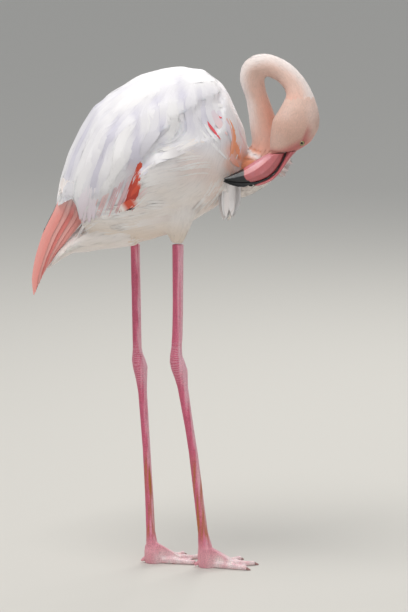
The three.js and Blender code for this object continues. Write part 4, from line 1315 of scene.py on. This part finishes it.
def leg_colour(points, side):
    """Rose, darker behind as painted shade and paler in front as painted highlight, wrinkled round the ankle,
    ochre low down, with pale webs that carry a painted highlight.
    """
    height = points[:, 2] * 1000
    feet_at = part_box(f"foot_{side}")[0].x
    steps = np.round(height / 4).astype(int)
    middle = np.bincount(steps, points[:, 0]) / np.maximum(np.bincount(steps), 1)
    front = (points[:, 0] - middle[steps]) * 1000 * rise(height, 20, 60)
    ankle_low, ankle_high = (corner.z * 1000 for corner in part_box(f"ankle_{side}"))
    on_ankle = rise(height, ankle_low, ankle_low + 26) * rise(height, ankle_high + 16, ankle_high)
    rings = np.sin(height * 2.1 + 2.5 * cloud(points, 14, 2))
    patchy = cloud(points, 10, 6)
    streaks = cloud(points * (1, 1, 0.06), 4, 3)
    colour = blend(np.tile(LEG_ROSE, (len(points), 1)), LEG_DARK_AND_SHADE, 0.35 + 0.35 * streaks + 0.2 * patchy)
    # paler along random streaks, and a painted highlight towards the front of the leg
    colour = blend(colour, LEG_PALE_AND_HIGHLIGHT, np.clip(-0.1 - 0.5 * streaks + 0.14 * front, 0, 0.75))
    # painted shade towards the back of the leg
    colour = blend(colour, LEG_DARK_AND_SHADE, np.clip(-0.16 * front, 0, 0.7))
    colour = blend(colour, LEG_PALE_AND_HIGHLIGHT, 0.6 * on_ankle * rise(rings, 0.1, 0.9))
    low = rise(height, 210, 150) * rise(height, 30, 70)
    colour = blend(colour, LEG_OCHRE, low * np.clip(0.35 + 0.9 * streaks, 0, 1))
    ahead = (points[:, 0] - feet_at) * 1000
    web = rise(height, 30, 12) * rise(ahead, 10, 34)
    colour = blend(colour, WEB_PINK, rise(height, 60, 20) * 0.8)
    # pale webs, partly a painted highlight on their tops
    return blend(colour, WEB_PALE_HIGHLIGHT, web * np.clip(0.8 + 0.4 * patchy, 0, 1))


def scaled_skin_material():
    """Leg skin: rows of scutes on the bones and small scales between, a little shiny."""
    material, shader = new_material("scaled leg skin", 0.45, coat_weight=0.08, subsurface_weight=0.05)
    tint = add_node(material, "ShaderNodeAttribute", attribute_name="tint")
    coords = add_node(material, "ShaderNodeTexCoord")
    stretched = add_node(material, "ShaderNodeMapping")
    stretched.inputs["Scale"].default_value = (1, 1, 1.35)
    link(material, coords.outputs["Object"], stretched.inputs["Vector"])
    scales = add_node(material, "ShaderNodeTexVoronoi", Scale=300, feature="DISTANCE_TO_EDGE")
    link(material, stretched.outputs[0], scales.inputs["Vector"])
    groove = add_node(material, "ShaderNodeMapRange")
    groove.inputs["From Max"].default_value = 0.16
    link(material, scales.outputs["Distance"], groove.inputs["Value"])
    shade = add_node(material, "ShaderNodeMapRange")
    shade.inputs["To Min"].default_value = 0.72
    link(material, groove.outputs[0], shade.inputs["Value"])
    darkened(material, shader, tint.outputs["Color"], shade.outputs[0], 1)
    bumped(material, shader, groove.outputs[0], 0.5, 0.0004)
    return material


BALLS = {"right": ((4, -32, 0), 8), "left": ((-88, -3, 0), 18)}  # mm, and the foot's heading in degrees
INSTEP = [(6, 8, 36), (20, 11, 23), (46, 18, 10), (46, 18, 4), (6, 9, 3)]  # mm ahead, aside and up from it


def instep(side):
    """The web's rise to the front of the leg, as a closed wedge over the roots of the toes."""
    ball, heading = BALLS[side]
    turn = Matrix.Rotation(math.radians(heading), 3, "Z")
    bm = bmesh.new()
    for ahead, aside, up in INSTEP:
        for way in (-1, 1):
            bm.verts.new(mm(*ball) + turn @ Vector((ahead, way * aside, up)) / 1000)
    bmesh.ops.convex_hull(bm, input=bm.verts)
    bmesh.ops.recalc_face_normals(bm, faces=bm.faces)
    wedge = bpy.data.meshes.new("instep")
    bm.to_mesh(wedge)
    bm.free()
    return wedge


SCALED = scaled_skin_material()
for side in SIDES:
    nodes = [f"{bone}_{side}" for bone in ("shank", "ankle", "tarsus", "foot", "hind_toe")]
    leg = evened(fused(f"leg_{side}", nodes, LEG_VOXEL, LEG_FUSE, instep(side)), f"leg_{side}", 5)
    points = coordinates(leg.data) - vertex_normals(leg.data) * LEG_SHRINK
    points[:, 2] = np.maximum(points[:, 2], SOLE)
    move_to(leg.data, points)
    paint(leg.data, leg_colour(points, side))
    leg.data.materials.append(SCALED)
    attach(leg, "root")
    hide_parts(*nodes)

# ---------------------------------------------------------------- claws
# Small blunt claws of brownish horn. One sits over the last bone of each front toe, and reaches just past the
# web.

CLAW_VOXEL = 0.0005
CLAW_FUSE = 0.0001
CLAW_BROWN = srgb(170, 124, 120)
CLAW = horn_material("claw horn")
for side in SIDES:
    for toe in ("inner", "middle", "outer"):
        node = f"claw_{side}_{toe}"
        claw = evened(fused(node, [node], CLAW_VOXEL, CLAW_FUSE), f"{node}_horn", 2)
        paint(claw.data, np.tile(CLAW_BROWN, (len(claw.data.vertices), 1)))
        claw.data.materials.append(CLAW)
        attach(claw, "root")
        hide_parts(node)
